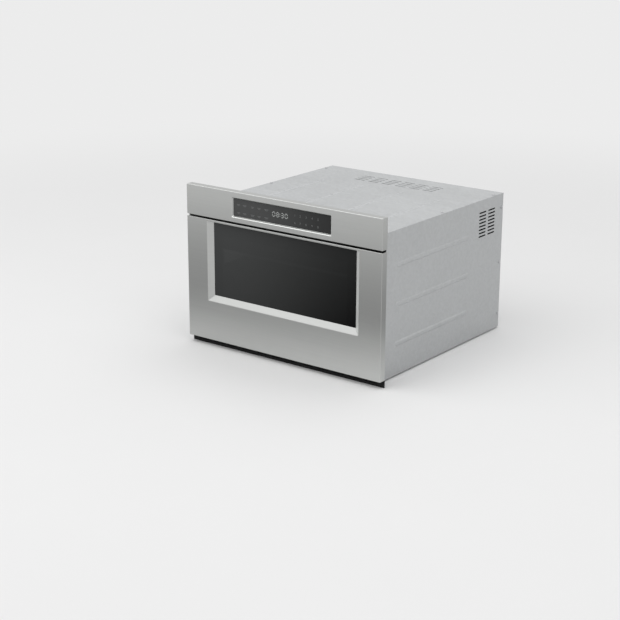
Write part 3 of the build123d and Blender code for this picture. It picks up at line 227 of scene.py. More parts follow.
def dress(material, names, radius):
    """Gives nodes of the frame their material and, where the radius in mm isn't 0, rounded edges."""
    rounding = {
        "WELD": {"merge_threshold": 0.001 * MM},
        "DECIMATE": {"decimate_type": "DISSOLVE", "angle_limit": math.radians(0.5)},
        "BEVEL": {
            "width": radius * MM, "segments": 2, "limit_method": "ANGLE", "angle_limit": math.radians(40)
        },
        "WEIGHTED_NORMAL": {"weight": 100},
    }
    for name in names:
        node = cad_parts[name]
        coat(node, material)
        if radius:
            for kind, settings in rounding.items():
                set_all(node.modifiers.new(kind.title(), kind), **settings)


# -------- shading


def math_node(operation, flipped=False):
    """A method that adds the Math node of one operation."""

    def method(self, *others):
        values = (*others, self) if flipped else (self, *others)
        return self.make.number("Math", dict(enumerate(values)), operation=operation)

    return method


class Number:
    """A number that changes over a surface. Arithmetic on it adds the nodes that work it out."""

    def __init__(self, make, socket):
        self.make = make
        self.socket = socket

    __add__ = __radd__ = math_node("ADD")
    __mul__ = __rmul__ = math_node("MULTIPLY")
    __sub__ = math_node("SUBTRACT")
    __rsub__ = math_node("SUBTRACT", flipped=True)
    __gt__ = math_node("GREATER_THAN")
    __lt__ = math_node("LESS_THAN")
    __abs__ = math_node("ABSOLUTE")
    sine = math_node("SINE")
    root = math_node("SQRT")
    whole = math_node("FLOOR")
    fraction = math_node("FRACT")
    at_most = math_node("MINIMUM")

    def ramp(self, low, high):
        """0 below low, 1 above high and smooth between."""
        return self.make.number("MapRange", {0: self, 1: low, 2: high}, interpolation_type="SMOOTHSTEP")


def four(colour):
    """A colour for a socket: a link stays as it is, and three numbers get a fourth."""
    return colour if isinstance(colour, NodeSocket) else (*colour, 1)


class Nodes:
    """The nodes of a material or of the world."""

    def __init__(self, owner):
        owner.use_nodes = True
        self.tree = owner.node_tree
        self.tree.nodes.clear()

    def node(self, kind, inputs=None, **settings):
        """Adds a node, sets what kind of node it is and then fills its sockets."""
        made = self.tree.nodes.new("ShaderNode" + kind)
        set_all(made, **settings)
        for name, value in (inputs or {}).items():
            if isinstance(value, Number):
                value = value.socket
            if isinstance(value, NodeSocket):
                self.tree.links.new(value, made.inputs[name])
            else:
                made.inputs[name].default_value = value
        return made

    def number(self, kind, inputs, **settings):
        return Number(self, self.node(kind, inputs, **settings).outputs[0])

    def either(self, factor, first, second):
        """One shader where the factor is 0 and the other where it is 1."""
        return self.node("MixShader", {0: factor, 1: first.outputs[0], 2: second.outputs[0]})

    def show(self, shader, output="OutputMaterial"):
        """Joins a shader to the output."""
        self.node(output, {0: shader.outputs[0]})


class Finish(Nodes):
    """A material in the making: its nodes and the surface that they feed."""

    def __init__(self, name):
        self.material = bpy.data.materials.new(name)
        super().__init__(self.material)
        self.coordinates = self.node("TexCoord")
        self.place = self.coordinates.outputs["Object"]

    def axes(self, vector=None):
        """The three parts of a vector, or of the place on the object."""
        parts = self.node("SeparateXYZ", {0: vector or self.place})
        return [Number(self, part) for part in parts.outputs]

    def vector(self, x, y, z):
        return self.node("CombineXYZ", {0: x, 1: y, 2: z}).outputs[0]

    def noise(self, scale, detail=2.0, roughness=0.5, vector=None):
        """Soft random numbers about 0.5. A scale of three numbers stretches them."""
        if isinstance(scale, tuple):
            stretched = self.node("VectorMath", {0: self.place, 1: scale}, operation="MULTIPLY")
            vector, scale = stretched.outputs[0], 1.0
        inputs = {"Vector": vector or self.place, "Scale": scale, "Detail": detail, "Roughness": roughness}
        return self.number("TexNoise", inputs)

    def _cells(self, scale, **settings):
        return self.node("TexVoronoi", {"Vector": self.place, "Scale": scale}, **settings).outputs

    def spots(self, scale):
        """The distance to the middle of the nearest of many small cells."""
        return Number(self, self._cells(scale)["Distance"])

    def patches(self, scale, part=0, **settings):
        """A random number for each of many small cells."""
        return self.axes(self._cells(scale, **settings)["Color"])[part]

    def mix(self, factor, first, second, blend="MIX"):
        """One colour where the factor is 0 and the other where it is 1."""
        inputs = {0: factor, 6: four(first), 7: four(second)}
        return self.node("Mix", inputs, data_type="RGBA", blend_type=blend).outputs[2]

    def shaded(self, colour, factor):
        """A colour made lighter or darker by a number about 1."""
        return self.mix(1.0, colour, self.vector(factor, factor, factor), "MULTIPLY")

    def bump(self, height, millimetres, strength):
        """Small relief: a height from 0 to 1 stands for this many millimetres."""
        inputs = {"Height": height, "Distance": millimetres * MM, "Strength": strength}
        return self.node("Bump", inputs).outputs[0]

    def surface(self, colour, roughness, normal=None, **sockets):
        """Joins everything to the shader and gives the material's name. In a socket's name, _ is a space."""
        inputs = {"Base Color": four(colour), "Roughness": roughness}
        if normal is not None:
            inputs["Normal"] = normal
        for name, value in sockets.items():
            inputs[name.replace("_", " ")] = value
        self.show(self.node("BsdfPrincipled", inputs))
        return self.material.name


def colour_of(name):
    """A colour from the panel's settings."""
    return tuple(getattr(bpy.context.scene.drawer_finishes, name))


def brushed_steel():
    """Stainless sheet brushed along its length, with rougher slopes. Its tone holds a painted reflection over
    the front and painted highlights and shade on the slopes.
    """
    make = Finish("brushed_stainless")
    x, y, z = make.axes()
    normal_x, normal_y, normal_z = make.axes(make.coordinates.outputs["Normal"])
    # Brush marks are long along the sheet and fine across it, on faces that look up or down as well
    across = abs(normal_z) > 0.7
    line = z + across * (y - z)
    along = x + y * (1 - across)
    streaks = make.noise(1.0, 3.0, 0.6, make.vector(along * 3, 0.0, line * 420))
    scratches = make.noise(1.0, 2.0, 0.7, make.vector(along * 38, 3.0, line * 3800))
    smears = make.noise(5.0, 3.0)
    # Painted reflection: the tone is deepest at the middle of the drawer front and pales below it and up to
    # the panel's top
    low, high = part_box("drawer_fascia")
    middle, height = (low.z + high.z) / 2, high.z - low.z
    depth = 0.66 + (middle - z).ramp(0.0, height * 0.48) * 0.46 + (z - middle).ramp(0.0, height * 0.85) * 0.41
    # The painted reflection leans from side to side, and on the lower rail it is paler at its middle and
    # along its bottom
    reflection_lean = x * 3.3 * ((1 - z.ramp(0.10, 0.20)) * 0.135 - 0.025)
    rail = (1 - z.ramp(0.03, 0.10)) * (0.13 - x * x * 0.45) + (1 - z.ramp(0.018, 0.05)) * 0.06
    depth = depth * (0.895 + z.ramp(0.30, 0.45) * 0.09 + rail + reflection_lean)
    # The slopes round the window and the display are rougher. Their tone is a painted highlight or shade by
    # the way each faces, with a stronger painted highlight on the lip under the display
    slope = abs(normal_y).ramp(0.55, 0.75) * (1 - abs(normal_y).ramp(0.85, 0.97))
    on_panel = z > high.z
    painted_lip_highlight = on_panel * (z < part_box("display_glass")[0].z + 8 * MM)
    painted_slope_light = 1.10 + (normal_z > 0.3) * (on_panel * 0.45 + painted_lip_highlight * 0.32 - 0.18) + (normal_x < -0.3) * 0.75
    tone = (0.90 + streaks * 0.10 + scratches * 0.10) * (depth * (1 - slope) + slope * painted_slope_light)
    return make.surface(
        make.shaded(colour_of("steel"), tone),
        0.22 + scratches * 0.14 + smears * 0.05 + slope * 0.16,
        make.bump(scratches + streaks * 0.5, 0.04, 0.5),
        Metallic=1.0,
    )


HOLES_UP, HOLES_ACROSS = 520, 450  # holes of the window's screen in each metre


def off_hole(x, z):
    """The square of the distance to the nearest hole of the screen, as a share of their spacing."""
    rows = z * HOLES_UP
    columns = x * HOLES_ACROSS + rows.whole() * 0.5
    hole_x, hole_z = columns.fraction() - 0.5, rows.fraction() - 0.5
    return hole_x * hole_x + hole_z * hole_z


def screen_and_painted_reflection(x, z, half_width, low, high):
    """How much paler black glass is where the screen and its pale edge show through, and at its left, where a
    painted reflection pales it.
    """
    inside = (abs(x) < half_width) * (z > low) * (z < high)
    web = off_hole(x, z) > 0.12
    edge = high - 34 * MM
    rim = z.ramp(edge - 7 * MM, edge - 2 * MM) * (1 - z.ramp(edge, edge + 5 * MM)) * inside
    # A painted reflection, paler at the upper left of the window
    reflection_patch = x.ramp(-0.194, -0.186) * (1 - x.ramp(-0.175, -0.100))
    reflection_patch = reflection_patch * (z - x * 0.42).ramp(edge + 41 * MM, edge + 47 * MM)
    reflection_patch = reflection_patch * (1 - z.ramp(edge - MM, edge + 5 * MM))
    return inside * web * 0.3 + rim * 0.35 + reflection_patch * 0.9


def dark_glass(name, tint, fade, plain, left_reflection, gloss, rise=0.0, screen=None):
    """Black glass with faint smears. Its tone is plain at the right and rises to the left by a painted
    reflection.
    """
    make = Finish(name)
    x, _, z = make.axes()
    smears = make.noise(9.0, 4.0, 0.6)
    half_way = 40 * MM
    tone = plain + smears * 0.3 + (1 - x.ramp(half_way - fade, half_way + fade)) * left_reflection
    if screen:
        half_width, low, high = screen
        # The rise is a painted reflection that pales the glass towards its top; the screen is seen through it
        tone = tone + (z - low) * rise + screen_and_painted_reflection(x, z, half_width, low, high)
    polish = 0.03 + smears.ramp(0.5, 0.8) * 0.05
    return make.surface(make.shaded(tint, tone), polish, IOR=1.5, Specular_IOR_Level=gloss)


def perforated_screen():
    """Black steel sheet with close rows of round holes."""
    make = Finish("perforated_screen")
    x, _, z = make.axes()
    web = off_hole(x, z).ramp(0.10, 0.14)
    tone = make.mix(web, (0.004, 0.004, 0.004), (0.06, 0.06, 0.062))
    return make.surface(tone, 0.55 - web * 0.15, make.bump(web, 0.3, 0.8), Metallic=0.3)


def galvanised_sheet():
    """Zinc on steel sheet: fine grey crystals, roll marks and handling dulls."""
    make = Finish("galvanised_sheet")
    crystal = make.patches(170.0)
    rolled = make.noise((3.0, 90.0, 90.0), 2.0)
    dull = make.noise(7.0, 4.0, 0.6)
    grain = make.noise(1500.0, 2.0)
    return make.surface(
        make.shaded(colour_of("zinc"), 0.86 + crystal * 0.09 + rolled * 0.07 + dull * 0.10 + grain * 0.04),
        0.42 + crystal * 0.07 + dull * 0.16,
        make.bump(grain + rolled * 2.0, 0.03, 0.35),
        Metallic=1.0,
    )


def drawn_metal(name, colour, roughness, streak=(900.0, 6.0, 900.0)):
    """Bright metal drawn or rolled along one axis."""
    make = Finish(name)
    lines = make.noise(streak, 3.0, 0.6)
    dull = make.noise(18.0, 4.0, 0.6)
    return make.surface(
        make.shaded(colour, 0.86 + lines * 0.14 + dull * 0.14),
        roughness - 0.08 + lines * 0.12 + dull * 0.10,
        make.bump(lines, 0.04, 0.4),
        Metallic=1.0,
    )


def painted_steel(name, colour, roughness, fleck=0.0, gloss=0.5):
    """Paint or enamel on steel: a slight orange peel, and flecks where it is enamel."""
    make = Finish(name)
    peel = make.noise(420.0, 2.0)
    cloud = make.noise(6.0, 3.0)
    tone = make.shaded(colour, 0.94 + cloud * 0.12)
    if fleck:
        batch = make.patches(700.0)
        spot = make.spots(700.0) < 0.28
        tone = make.mix(spot * (batch > 0.55) * fleck, tone, (0.10, 0.10, 0.11))
        tone = make.mix(spot * (batch < 0.25) * fleck, tone, (0.92, 0.92, 0.90))
    dullness = roughness + cloud * 0.10 + peel * 0.06
    return make.surface(tone, dullness, make.bump(peel, 0.06, 0.35), Specular_IOR_Level=gloss)


def moulded_plastic(name, colour, roughness=0.45):
    """Moulded plastic with a fine spark-eroded grain and slight flow marks."""
    make = Finish(name)
    grain = make.noise(1400.0, 3.0, 0.6)
    flow = make.noise((14.0, 50.0, 30.0), 2.0)
    return make.surface(
        make.shaded(colour, 0.90 + grain * 0.10 + flow * 0.10),
        roughness + flow * 0.10 + grain * 0.08,
        make.bump(grain, 0.05, 0.5),
    )


def ceramic_floor():
    """Pale ceramic glass: milky, with fine specks and a polished top."""
    make = Finish("ceramic_floor")
    cloud = make.noise(22.0, 4.0, 0.6)
    specks = make.spots(1300.0) < 0.22
    milk = make.shaded(colour_of("ceramic"), 0.95 + cloud * 0.10)
    tone = make.mix(specks * 0.35, milk, (0.50, 0.49, 0.46))
    ripple = make.bump(make.noise(260.0), 0.03, 0.3)
    return make.surface(tone, 0.12 + cloud * 0.10, ripple, Coat_Weight=0.3)


def inner_glass():
    """Clear glass with wiping marks."""
    make = Finish("inner_glass")
    wiped = make.noise((12.0, 12.0, 90.0), 3.0, 0.6)
    tone = make.shaded(colour_of("clear"), 0.97 + wiped * 0.04)
    return make.surface(tone, 0.02 + wiped * 0.06, Transmission_Weight=0.9, IOR=1.5)


def circuit_board(name, face_y, facing):
    """Green board with tracks and solder pads. What stands out from its face is dark plastic or brown."""
    make = Finish(name)
    x, y, z = make.axes()
    lane = make.patches(140.0, distance="CHEBYCHEV")
    track_x, track_z = ((way * 2400).sine() > 0.35 for way in (x, z))  # one each 2.6 mm
    tracks = track_x * (lane > 0.62) + track_z * (lane < 0.35)
    pads = make.spots(390.0) < 0.16
    tone = make.mix(tracks, (0.012, 0.085, 0.035), (0.03, 0.17, 0.07))
    tone = make.mix(pads * (lane > 0.5), tone, (0.62, 0.62, 0.60))
    raised = (y - face_y) * facing > 0.05 * MM
    part = make.mix(make.patches(45.0, 1) > 0.7, (0.02, 0.02, 0.022), (0.30, 0.22, 0.04))
    tone = make.mix(raised, tone, part)
    return make.surface(tone, 0.38 + raised * 0.12, make.bump(tracks, 0.05, 0.6))


def laminated_iron():
    """Varnished core sheets stacked front to back, with a little rust."""
    make = Finish("laminated_iron")
    sheets = (make.axes()[1] * 8970).sine()  # one each 0.7 mm
    rust = make.noise(60.0, 4.0, 0.6)
    tone = make.mix(rust.ramp(0.5, 0.75) * 0.6, (0.15, 0.14, 0.13), (0.16, 0.085, 0.05))
    return make.surface(
        make.shaded(tone, 0.85 + sheets * 0.10 + rust * 0.2),
        0.42 + rust * 0.15,
        make.bump(sheets, 0.12, 0.6),
        Metallic=0.75,
    )


def enamelled_copper():
    """Wound copper wire under a coat of varnish."""
    make = Finish("enamelled_copper")
    wires = (make.axes()[2] * 6980).sine()  # one each 0.9 mm
    varnish = make.noise(45.0, 4.0, 0.6)
    return make.surface(
        make.shaded((0.62, 0.26, 0.12), 0.74 + wires * 0.14 + varnish * 0.24),
        0.30 + varnish * 0.18,
        make.bump(wires, 0.12, 0.7),
        Metallic=0.85,
    )


def rubber(name, colour=(0.022, 0.022, 0.022), gloss=0.5):
    """Black rubber with a fine matt grain."""
    make = Finish(name)
    grain = make.noise(800.0, 3.0)
    tone = make.shaded(colour, 0.8 + grain * 0.4)
    return make.surface(tone, 0.75, make.bump(grain, 0.06, 0.5), Specular_IOR_Level=gloss)


def floor_silicone():
    """Cured silicone: matt, slightly wavy along the bead and a little dusty."""
    make = Finish("floor_silicone")
    wave = make.noise(70.0, 3.0)
    dust = make.noise(600.0, 2.0)
    tone = make.shaded((0.30, 0.30, 0.29), 0.86 + wave * 0.14 + dust * 0.12)
    return make.surface(tone, 0.50 + dust * 0.15, make.bump(wave, 0.3, 0.5))


def printed(name, colour, glow):
    """Print or light on the touch glass."""
    make = Finish(name)
    dots = make.noise(2500.0, 1.0)
    tone = make.shaded(colour, 0.94 + dots * 0.12)
    return make.surface(tone, 0.35, Emission_Color=tone, Emission_Strength=glow)


# -------- settings


def length_property(name, description, millimetres):
    return FloatProperty(name=name, description=description, default=millimetres * MM, unit="LENGTH")


class DrawerSizes(PropertyGroup):
    """Sizes of the front that a user may change."""

    sheet: length_property("Sheet", "Thickness of the stainless sheet", 1.2)
    bend: length_property("Bend radius", "Outside radius of the folded edges", 1.5)
    window_side: length_property("Window side margin", "From the drawer's side to the bevel", 65.7)
    window_bottom: length_property("Window bottom margin", "From the drawer's bottom to the bevel", 104.1)
    window_top: length_property("Window top rail", "Height of the rail over the window", 5.5)
    bevel_width: length_property("Bevel width", "Width of the slope round the window", 15.0)
    display_width: length_property("Display width", "Width of the display's opening", 308.6)
    display_height: length_property("Display height", "Height of the display's opening", 50.6)
    display_top: length_property("Display from top", "From the panel's top to the display", 14.5)
    display_slope: length_property("Display slope", "Width of the slope round the display", 3.0)
    rib_height: length_property("Rib height", "Height of the ribs pressed into the case", 1.5)


def colour_property(name, description, value):
    return FloatVectorProperty(
        name=name, description=description, default=value, subtype="COLOR", size=3, min=0, max=1
    )


class DrawerFinishes(PropertyGroup):
    """Colours of the finishes."""

    steel: colour_property("Stainless", "Brushed stainless front", (0.465, 0.472, 0.463))
    glass: colour_property("Window glass", "Black glass of the drawer", (0.0062, 0.0064, 0.0064))
    touch_glass: colour_property("Touch glass", "Black glass of the display", (0.0245, 0.0249, 0.0249))
    clear: colour_property("Clear glass", "Inner window", (0.86, 0.89, 0.89))
    zinc: colour_property("Galvanised sheet", "Case of the appliance", (0.50, 0.51, 0.515))
    enamel: colour_property("Cavity enamel", "Paint inside the cavity", (0.50, 0.50, 0.48))
    # Near black: partly the paint's own black and partly painted shade, for the vent strip under the drawer
    black: colour_property("Black paint", "Frame and vent strip", (0.009, 0.009, 0.0095))
    ceramic: colour_property("Ceramic floor", "Floor of the tray", (0.68, 0.67, 0.64))


# -------- front


def folded_pan(name, low, high, opening, slope, sink, sizes, sloped_top=True):
    """A pan folded from sheet, open at the back. The sides of its opening slope in to the glass."""
    left, right, bottom, top = opening
    sides = ("X", left, slope), ("X", right, -slope), ("Z", bottom, slope), ("Z", top, -slope * sloped_top)
    obj = block(name, low, high)
    tiny = 0.01 * MM
    deep = low.y + sink - tiny
    with Editing(obj) as edit:
        edit.faces(lambda middle, normal: normal.y > ALONG)
        bpy.ops.mesh.delete(type="FACE")
        for axis, side, _ in sides:
            edit.faces(lambda middle, normal: normal.y < -ALONG)
            edit.cut(axis, side)
        edit.faces(lambda c, n: n.y < -ALONG and left < c.x < right and bottom < c.z < top)
        bpy.ops.mesh.extrude_region_move(TRANSFORM_OT_translate={"value": (0, sink, 0)})
        for axis, side, shift in sides:
            way = "XYZ".index(axis)
            edit.points(lambda p: deep < p.y < deep + MM and abs(p[way] - side) < tiny)
            bpy.ops.transform.translate(value=axis_vector(axis, shift))
        edit.faces(lambda c, n: n.y < -ALONG and deep < c.y < deep + MM)
        bpy.ops.mesh.delete(type="FACE")
    rounded(obj, sizes.bend, 4, 25)
    modified(obj, "SOLIDIFY", thickness=sizes.sheet, offset=-1, use_even_offset=True)
    return smoothed(rounded(obj, 0.15 * MM, 1, 60), 40)


class MICRODRAWER_OT_control_panel(Operator):
    """Fold the stainless control panel with the sloping surround of its display"""

    bl_idname = "microdrawer.control_panel"
    bl_label = "Control panel"

    def execute(self, context):
        sizes = context.scene.drawer_sizes
        low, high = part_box("control_fascia")
        sink = DISPLAY_FACE - FRONT
        half, top = sizes.display_width / 2, high.z - sizes.display_top
        opening = (-half, half, top - sizes.display_height, top)
        panel = folded_pan("control_panel_skin", low, high, opening, sizes.display_slope, sink, sizes)
        placed(panel, brushed_steel(), "case", "stainless", "control_fascia")
        return {"FINISHED"}


PROUD = 0.05 * MM  # print stands out this far from the glass

# Places of the print and the clock on the panel in mm, across and down
WORD_COLUMNS, WORD_ROWS = (168, 187.5, 212.5, 233.5, 256.5), (33.0, 53.5)
WORD_WIDTHS, WORD_STROKE = (10, 12, 9, 11, 13), 1.0 * MM
WORD_LINES = ((1.3, 1.0), (-1.3, 0.62))  # rise in mm and share of the width of a word's two lines
FIGURE_COLUMNS, FIGURE_ROWS = (345, 361, 379, 397, 415), (33.0, 51.5)
CLOCK_PLACE = (299.0, 39.0)
CLOCK_SHIFTS = (-19.5, -7.4, 7.4, 19.5)
COLON_DOT, COLON_RISES = 1.9 * MM, (-2.4, 2.4)
DIGIT_WIDTH, DIGIT_HEIGHT, DIGIT_STROKE = 7.4 * MM, 10.8 * MM, 2.2 * MM

SEGMENTS = {"0": "abcdef", "3": "abgcd", "8": "abcdefg"}
# Place of each segment in half widths and half heights of the digit. Those at its middle lie flat
SEGMENT_PLACES = {
    "a": (0, 1), "b": (1, 0.5), "c": (1, -0.5), "d": (0, -1), "e": (-1, -0.5), "f": (-1, 0.5), "g": (0, 0)
}


def on_panel(across, down):
    """A place on the control panel in mm, across from its left side and down from its top."""
    low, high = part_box("control_fascia")
    return low.x + across * MM, high.z - down * MM


def upright_text(body, x, z, size):
    """A few characters standing upright and facing the front, as thin closed shapes."""
    clear_selection()
    bpy.ops.object.text_add(location=(x, DISPLAY_FACE - PROUD / 2, z), rotation=(QUARTER, 0, 0))
    text = bpy.context.object.data
    set_all(text, body=body, size=size, align_x="CENTER", align_y="CENTER", resolution_u=3, extrude=PROUD / 2)
    bpy.ops.object.convert(target="MESH")
    figure = named("figure")
    with Editing(figure):
        bpy.ops.mesh.select_all(action="SELECT")
        bpy.ops.mesh.remove_doubles(threshold=0.001 * MM)
        bpy.ops.mesh.dissolve_degenerate(threshold=0.001 * MM)
        bpy.ops.mesh.normals_make_consistent(inside=False)
    return figure


def bar(x, z, width, height):
    """A thin printed bar on the glass, with its middle at a place."""
    low = (x - width / 2, DISPLAY_FACE - PROUD, z - height / 2)
    return block("bar", low, (x + width / 2, DISPLAY_FACE, z + height / 2))


def lit_digit(figure, x, z):
    """A digit of lit bars, with its middle at a place."""
    free = DIGIT_STROKE * 1.1
    made = []
    for letter in SEGMENTS[figure]:
        across, up = SEGMENT_PLACES[letter]
        size = (DIGIT_STROKE, DIGIT_HEIGHT / 2 - free) if across else (DIGIT_WIDTH - free, DIGIT_STROKE)
        made.append(bar(x + across * DIGIT_WIDTH / 2, z + up * DIGIT_HEIGHT / 2, *size))
    return made


class MICRODRAWER_OT_display(Operator):
    """Print the touch areas and light the clock of the display"""

    bl_idname = "microdrawer.display"
    bl_label = "Display"

    def execute(self, context):
        dim = []
        for column, across in enumerate(WORD_COLUMNS):
            for row, down in enumerate(WORD_ROWS):
                x, z = on_panel(across, down)
                width = WORD_WIDTHS[(column + 2 * row) % len(WORD_WIDTHS)] * MM
                dim += [bar(x, z + rise * MM, width * share, WORD_STROKE) for rise, share in WORD_LINES]
        for figures, down in zip(("12345", "67890"), FIGURE_ROWS):
            for figure, across in zip(figures, FIGURE_COLUMNS):
                dim.append(upright_text(figure, *on_panel(across, down), 8.0 * MM))
        labels = joined("display_labels", dim)
        placed(labels, printed("dim_print", (0.13, 0.134, 0.134), 0.02), "case", "grey_plastic")

        x, z = on_panel(*CLOCK_PLACE)
        lit = []
        for figure, shift in zip("0830", CLOCK_SHIFTS):
            lit += lit_digit(figure, x + shift * MM, z)
        lit += [bar(x, z + rise * MM, COLON_DOT, COLON_DOT) for rise in COLON_RISES]
        clock = joined("display_clock", lit)
        placed(clock, printed("lit_figures", (0.33, 0.34, 0.335), 0.06), "case", "white_plastic")
        tint = colour_of("touch_glass")
        # The touch glass is paler to the left by a painted reflection
        glass = dark_glass("touch_glass", tint, fade=0.16, plain=1.0, left_reflection=1.8, gloss=0.08)
        dress(glass, ["display_glass"], 0)
        return {"FINISHED"}


class MICRODRAWER_OT_drawer_front(Operator):
    """Fold the stainless drawer front with the bevel round its window"""

    bl_idname = "microdrawer.drawer_front"
    bl_label = "Drawer front"

    def execute(self, context):
        sizes = context.scene.drawer_sizes
        low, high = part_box("drawer_fascia")
        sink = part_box("window_glass")[0].y - FRONT
        left, right = low.x + sizes.window_side, high.x - sizes.window_side
        opening = (left, right, low.z + sizes.window_bottom, high.z - sizes.window_top)
        skin = folded_pan("drawer_front_skin", low, high, opening, sizes.bevel_width, sink, sizes, False)
        placed(skin, "brushed_stainless", "drawer", "stainless", "drawer_fascia")
        screen_low, screen_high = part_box("inner_window")
        screen = (screen_high.x, screen_low.z, screen_high.z)
        tint = colour_of("glass")
        # The window glass is paler to the left and upwards by a painted reflection
        glass = dark_glass(
            "window_glass", tint, fade=0.24, plain=0.0, left_reflection=6.25, gloss=0.05, rise=14.0, screen=screen
        )
        dress(glass, ["window_glass"], 0.5)
        return {"FINISHED"}


# -------- case

RIB_WIDTH = 14 * MM
RIB_SHOULDERS = ((0.075, 0.25), (0.075, 0.40), (0.08, 0.25), (0.09, 0.10))  # shares of its width and height
TOP_RIBS, TOP_RIB_LENGTH = (-0.19, -0.065, 0.065, 0.19), 320 * MM  # places across the top
SIDE_RIBS, SIDE_RIB_LENGTH = (0.085, 0.185, 0.285), 330 * MM  # heights on each side
REAR_RIBS, REAR_RIB_LENGTH = (-0.235, -0.02, 0.245), 230 * MM  # places across the rear
TOP_FORWARD, SIDE_FORWARD, REAR_HEIGHT = 35 * MM, 45 * MM, 0.165  # where the middle of each row is
PLATE_X, PLATE_Z = (0.075, 0.165), (0.225, 0.300)  # ends of the service plate on the rear
PLATE_STEPS = ((5.0, 0.0), (1.2, 0.25), (1.2, 0.20), (0.8, 0.05))  # its edge in mm, inwards and up
PLATE_THICKNESS, PLATE_CORNER, SCREW_MARGIN = 1.0 * MM, 10 * MM, 4.5 * MM
SCREW_RADIUS, SCREW_HEIGHT = 3.2 * MM, 1.8 * MM


def pressed_rib(place, length, height, turn):
    """A long rounded rib with sloping shoulders, made flat, along x, and then turned and put on its sheet."""
    rib = block("rib", (-length / 2, -RIB_WIDTH / 2, -0.3 * MM), (length / 2, RIB_WIDTH / 2, 0.02 * MM))
    with Editing(rib) as edit:
        edit.round_corners("Z", RIB_WIDTH * 0.40, 8)
        edit.faces(lambda middle, normal: normal.z > ALONG)
        edit.inset(*((reach * RIB_WIDTH, rise * height) for reach, rise in RIB_SHOULDERS))
    smoothed(rib, 60)
    rib.rotation_euler, rib.location = turn, place
    bpy.ops.object.transform_apply(location=True, rotation=True, scale=False)
    return rib


class MICRODRAWER_OT_ribs(Operator):
    """Press the stiffening ribs into the sheets of the case, and screw the service plate to its rear"""

    bl_idname = "microdrawer.ribs"
    bl_label = "Case ribs"

    def execute(self, context):
        height = context.scene.drawer_sizes.rib_height
        zinc = galvanised_sheet()
        low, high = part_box("top_cover")
        middle = (low.y + high.y) / 2
        y, turn = middle - TOP_FORWARD, (0, 0, QUARTER)
        rows = {"top_ribs": [((x, y, high.z), TOP_RIB_LENGTH, turn) for x in TOP_RIBS]}
        for side, name in ((-1, "left"), (1, "right")):
            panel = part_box(f"{name}_side_panel")
            face = panel[1].x if side > 0 else panel[0].x
            y, turn = middle - SIDE_FORWARD, (QUARTER, 0, side * QUARTER)
            rows[f"{name}_side_ribs"] = [((face, y, z), SIDE_RIB_LENGTH, turn) for z in SIDE_RIBS]
        rear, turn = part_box("rear_panel")[1].y, (0, -QUARTER, -QUARTER)
        rows["rear_ribs"] = [((x, rear, REAR_HEIGHT), REAR_RIB_LENGTH, turn) for x in REAR_RIBS]
        for name, ribs in rows.items():
            made = [pressed_rib(place, length, height, turn) for place, length, turn in ribs]
            placed(joined(name, made), zinc, "case", "zinc_steel")

        (left, right), (bottom, top) = PLATE_X, PLATE_Z
        front, face = rear - 0.2 * MM, rear + PLATE_THICKNESS
        plate = block("service_plate", (left, front, bottom), (right, face, top))
        with Editing(plate) as edit:
            edit.round_corners("Y", PLATE_CORNER, 8)
            edit.faces(lambda middle, normal: normal.y > ALONG)
            edit.inset(*((reach * MM, rise * MM) for reach, rise in PLATE_STEPS))
        placed(smoothed(rounded(plate, 0.25 * MM), 60), zinc, "case", "zinc_steel")
        heads = [
            pad("plate_screws", (x, rear + 1.6 * MM, z), SCREW_RADIUS, SCREW_HEIGHT)
            for x in (left + SCREW_MARGIN, right - SCREW_MARGIN)
            for z in (bottom + SCREW_MARGIN, top - SCREW_MARGIN)
        ]
        bright = drawn_metal("bright_screws", (0.60, 0.60, 0.61), 0.30, (400.0, 400.0, 400.0))
        placed(joined("plate_screws", heads), bright, "case", "screw_steel")
        return {"FINISHED"}


class MICRODRAWER_OT_case(Operator):
    """Finish the sheets, screws, feet and inlet of the case"""

    bl_idname = "microdrawer.case"
    bl_label = "Case"

    def execute(self, context):
        sheets = ["base_plate", "left_side_panel", "right_side_panel", "top_cover", "rear_panel"]
        dress("galvanised_sheet", sheets, 0.5)
        # Its near-black tone is partly painted shade for the vent strip under the drawer
        black = painted_steel("black_paint", colour_of("black"), 0.42, gloss=0.16)
        dress(black, ["front_frame", "base_vent_trim"], 0.3)
        dress("bright_screws", ["case_screws"], 0.2)
        dress(rubber("foot_rubber"), ["feet"], 0)
        plastic = moulded_plastic("black_plastic", (0.024, 0.024, 0.026))
        dress(plastic, ["cord_gland", "control_carrier"], 0.3)
        return {"FINISHED"}


class MICRODRAWER_OT_cavity(Operator):
    """Finish the cooking cavity, its stirrer cover and lamp"""

    bl_idname = "microdrawer.cavity"
    bl_label = "Cavity"

    def execute(self, context):
        enamel = painted_steel("oven_enamel", colour_of("enamel"), 0.30, fleck=0.8)
        parts = ("face", "left_wall", "right_wall", "floor", "roof", "rear_wall")
        dress(enamel, [f"cavity_{part}" for part in parts], 0.3)
        white = moulded_plastic("white_plastic", (0.66, 0.65, 0.61), 0.38)
        dress(white, ["stirrer_cover", "cavity_lamp"], 0.3)
        return {"FINISHED"}


# -------- works

CORE_X, CORE_Y = 44 * MM, 34 * MM  # half the width and depth of the transformer's core
FOOT_Y, FOOT_THICKNESS = 13.6 * MM, 2 * MM  # half the depth of its foot, and its sheet
CORE_WELDS, WELD_HALF = (-0.45, 0.0, 0.45), 2 * MM  # heights of its welds, in half heights of the core
COILS = ((0.30, 7), (0.68, 9))  # height of each coil's middle, as a share, and its turns
COIL_WIDTH, COIL_HEIGHT, COIL_SHORT = 62 * MM, 22 * MM, 3 * MM  # its depth is that much short of the whole
BOARD = 1.6 * MM  # thickness of a circuit board


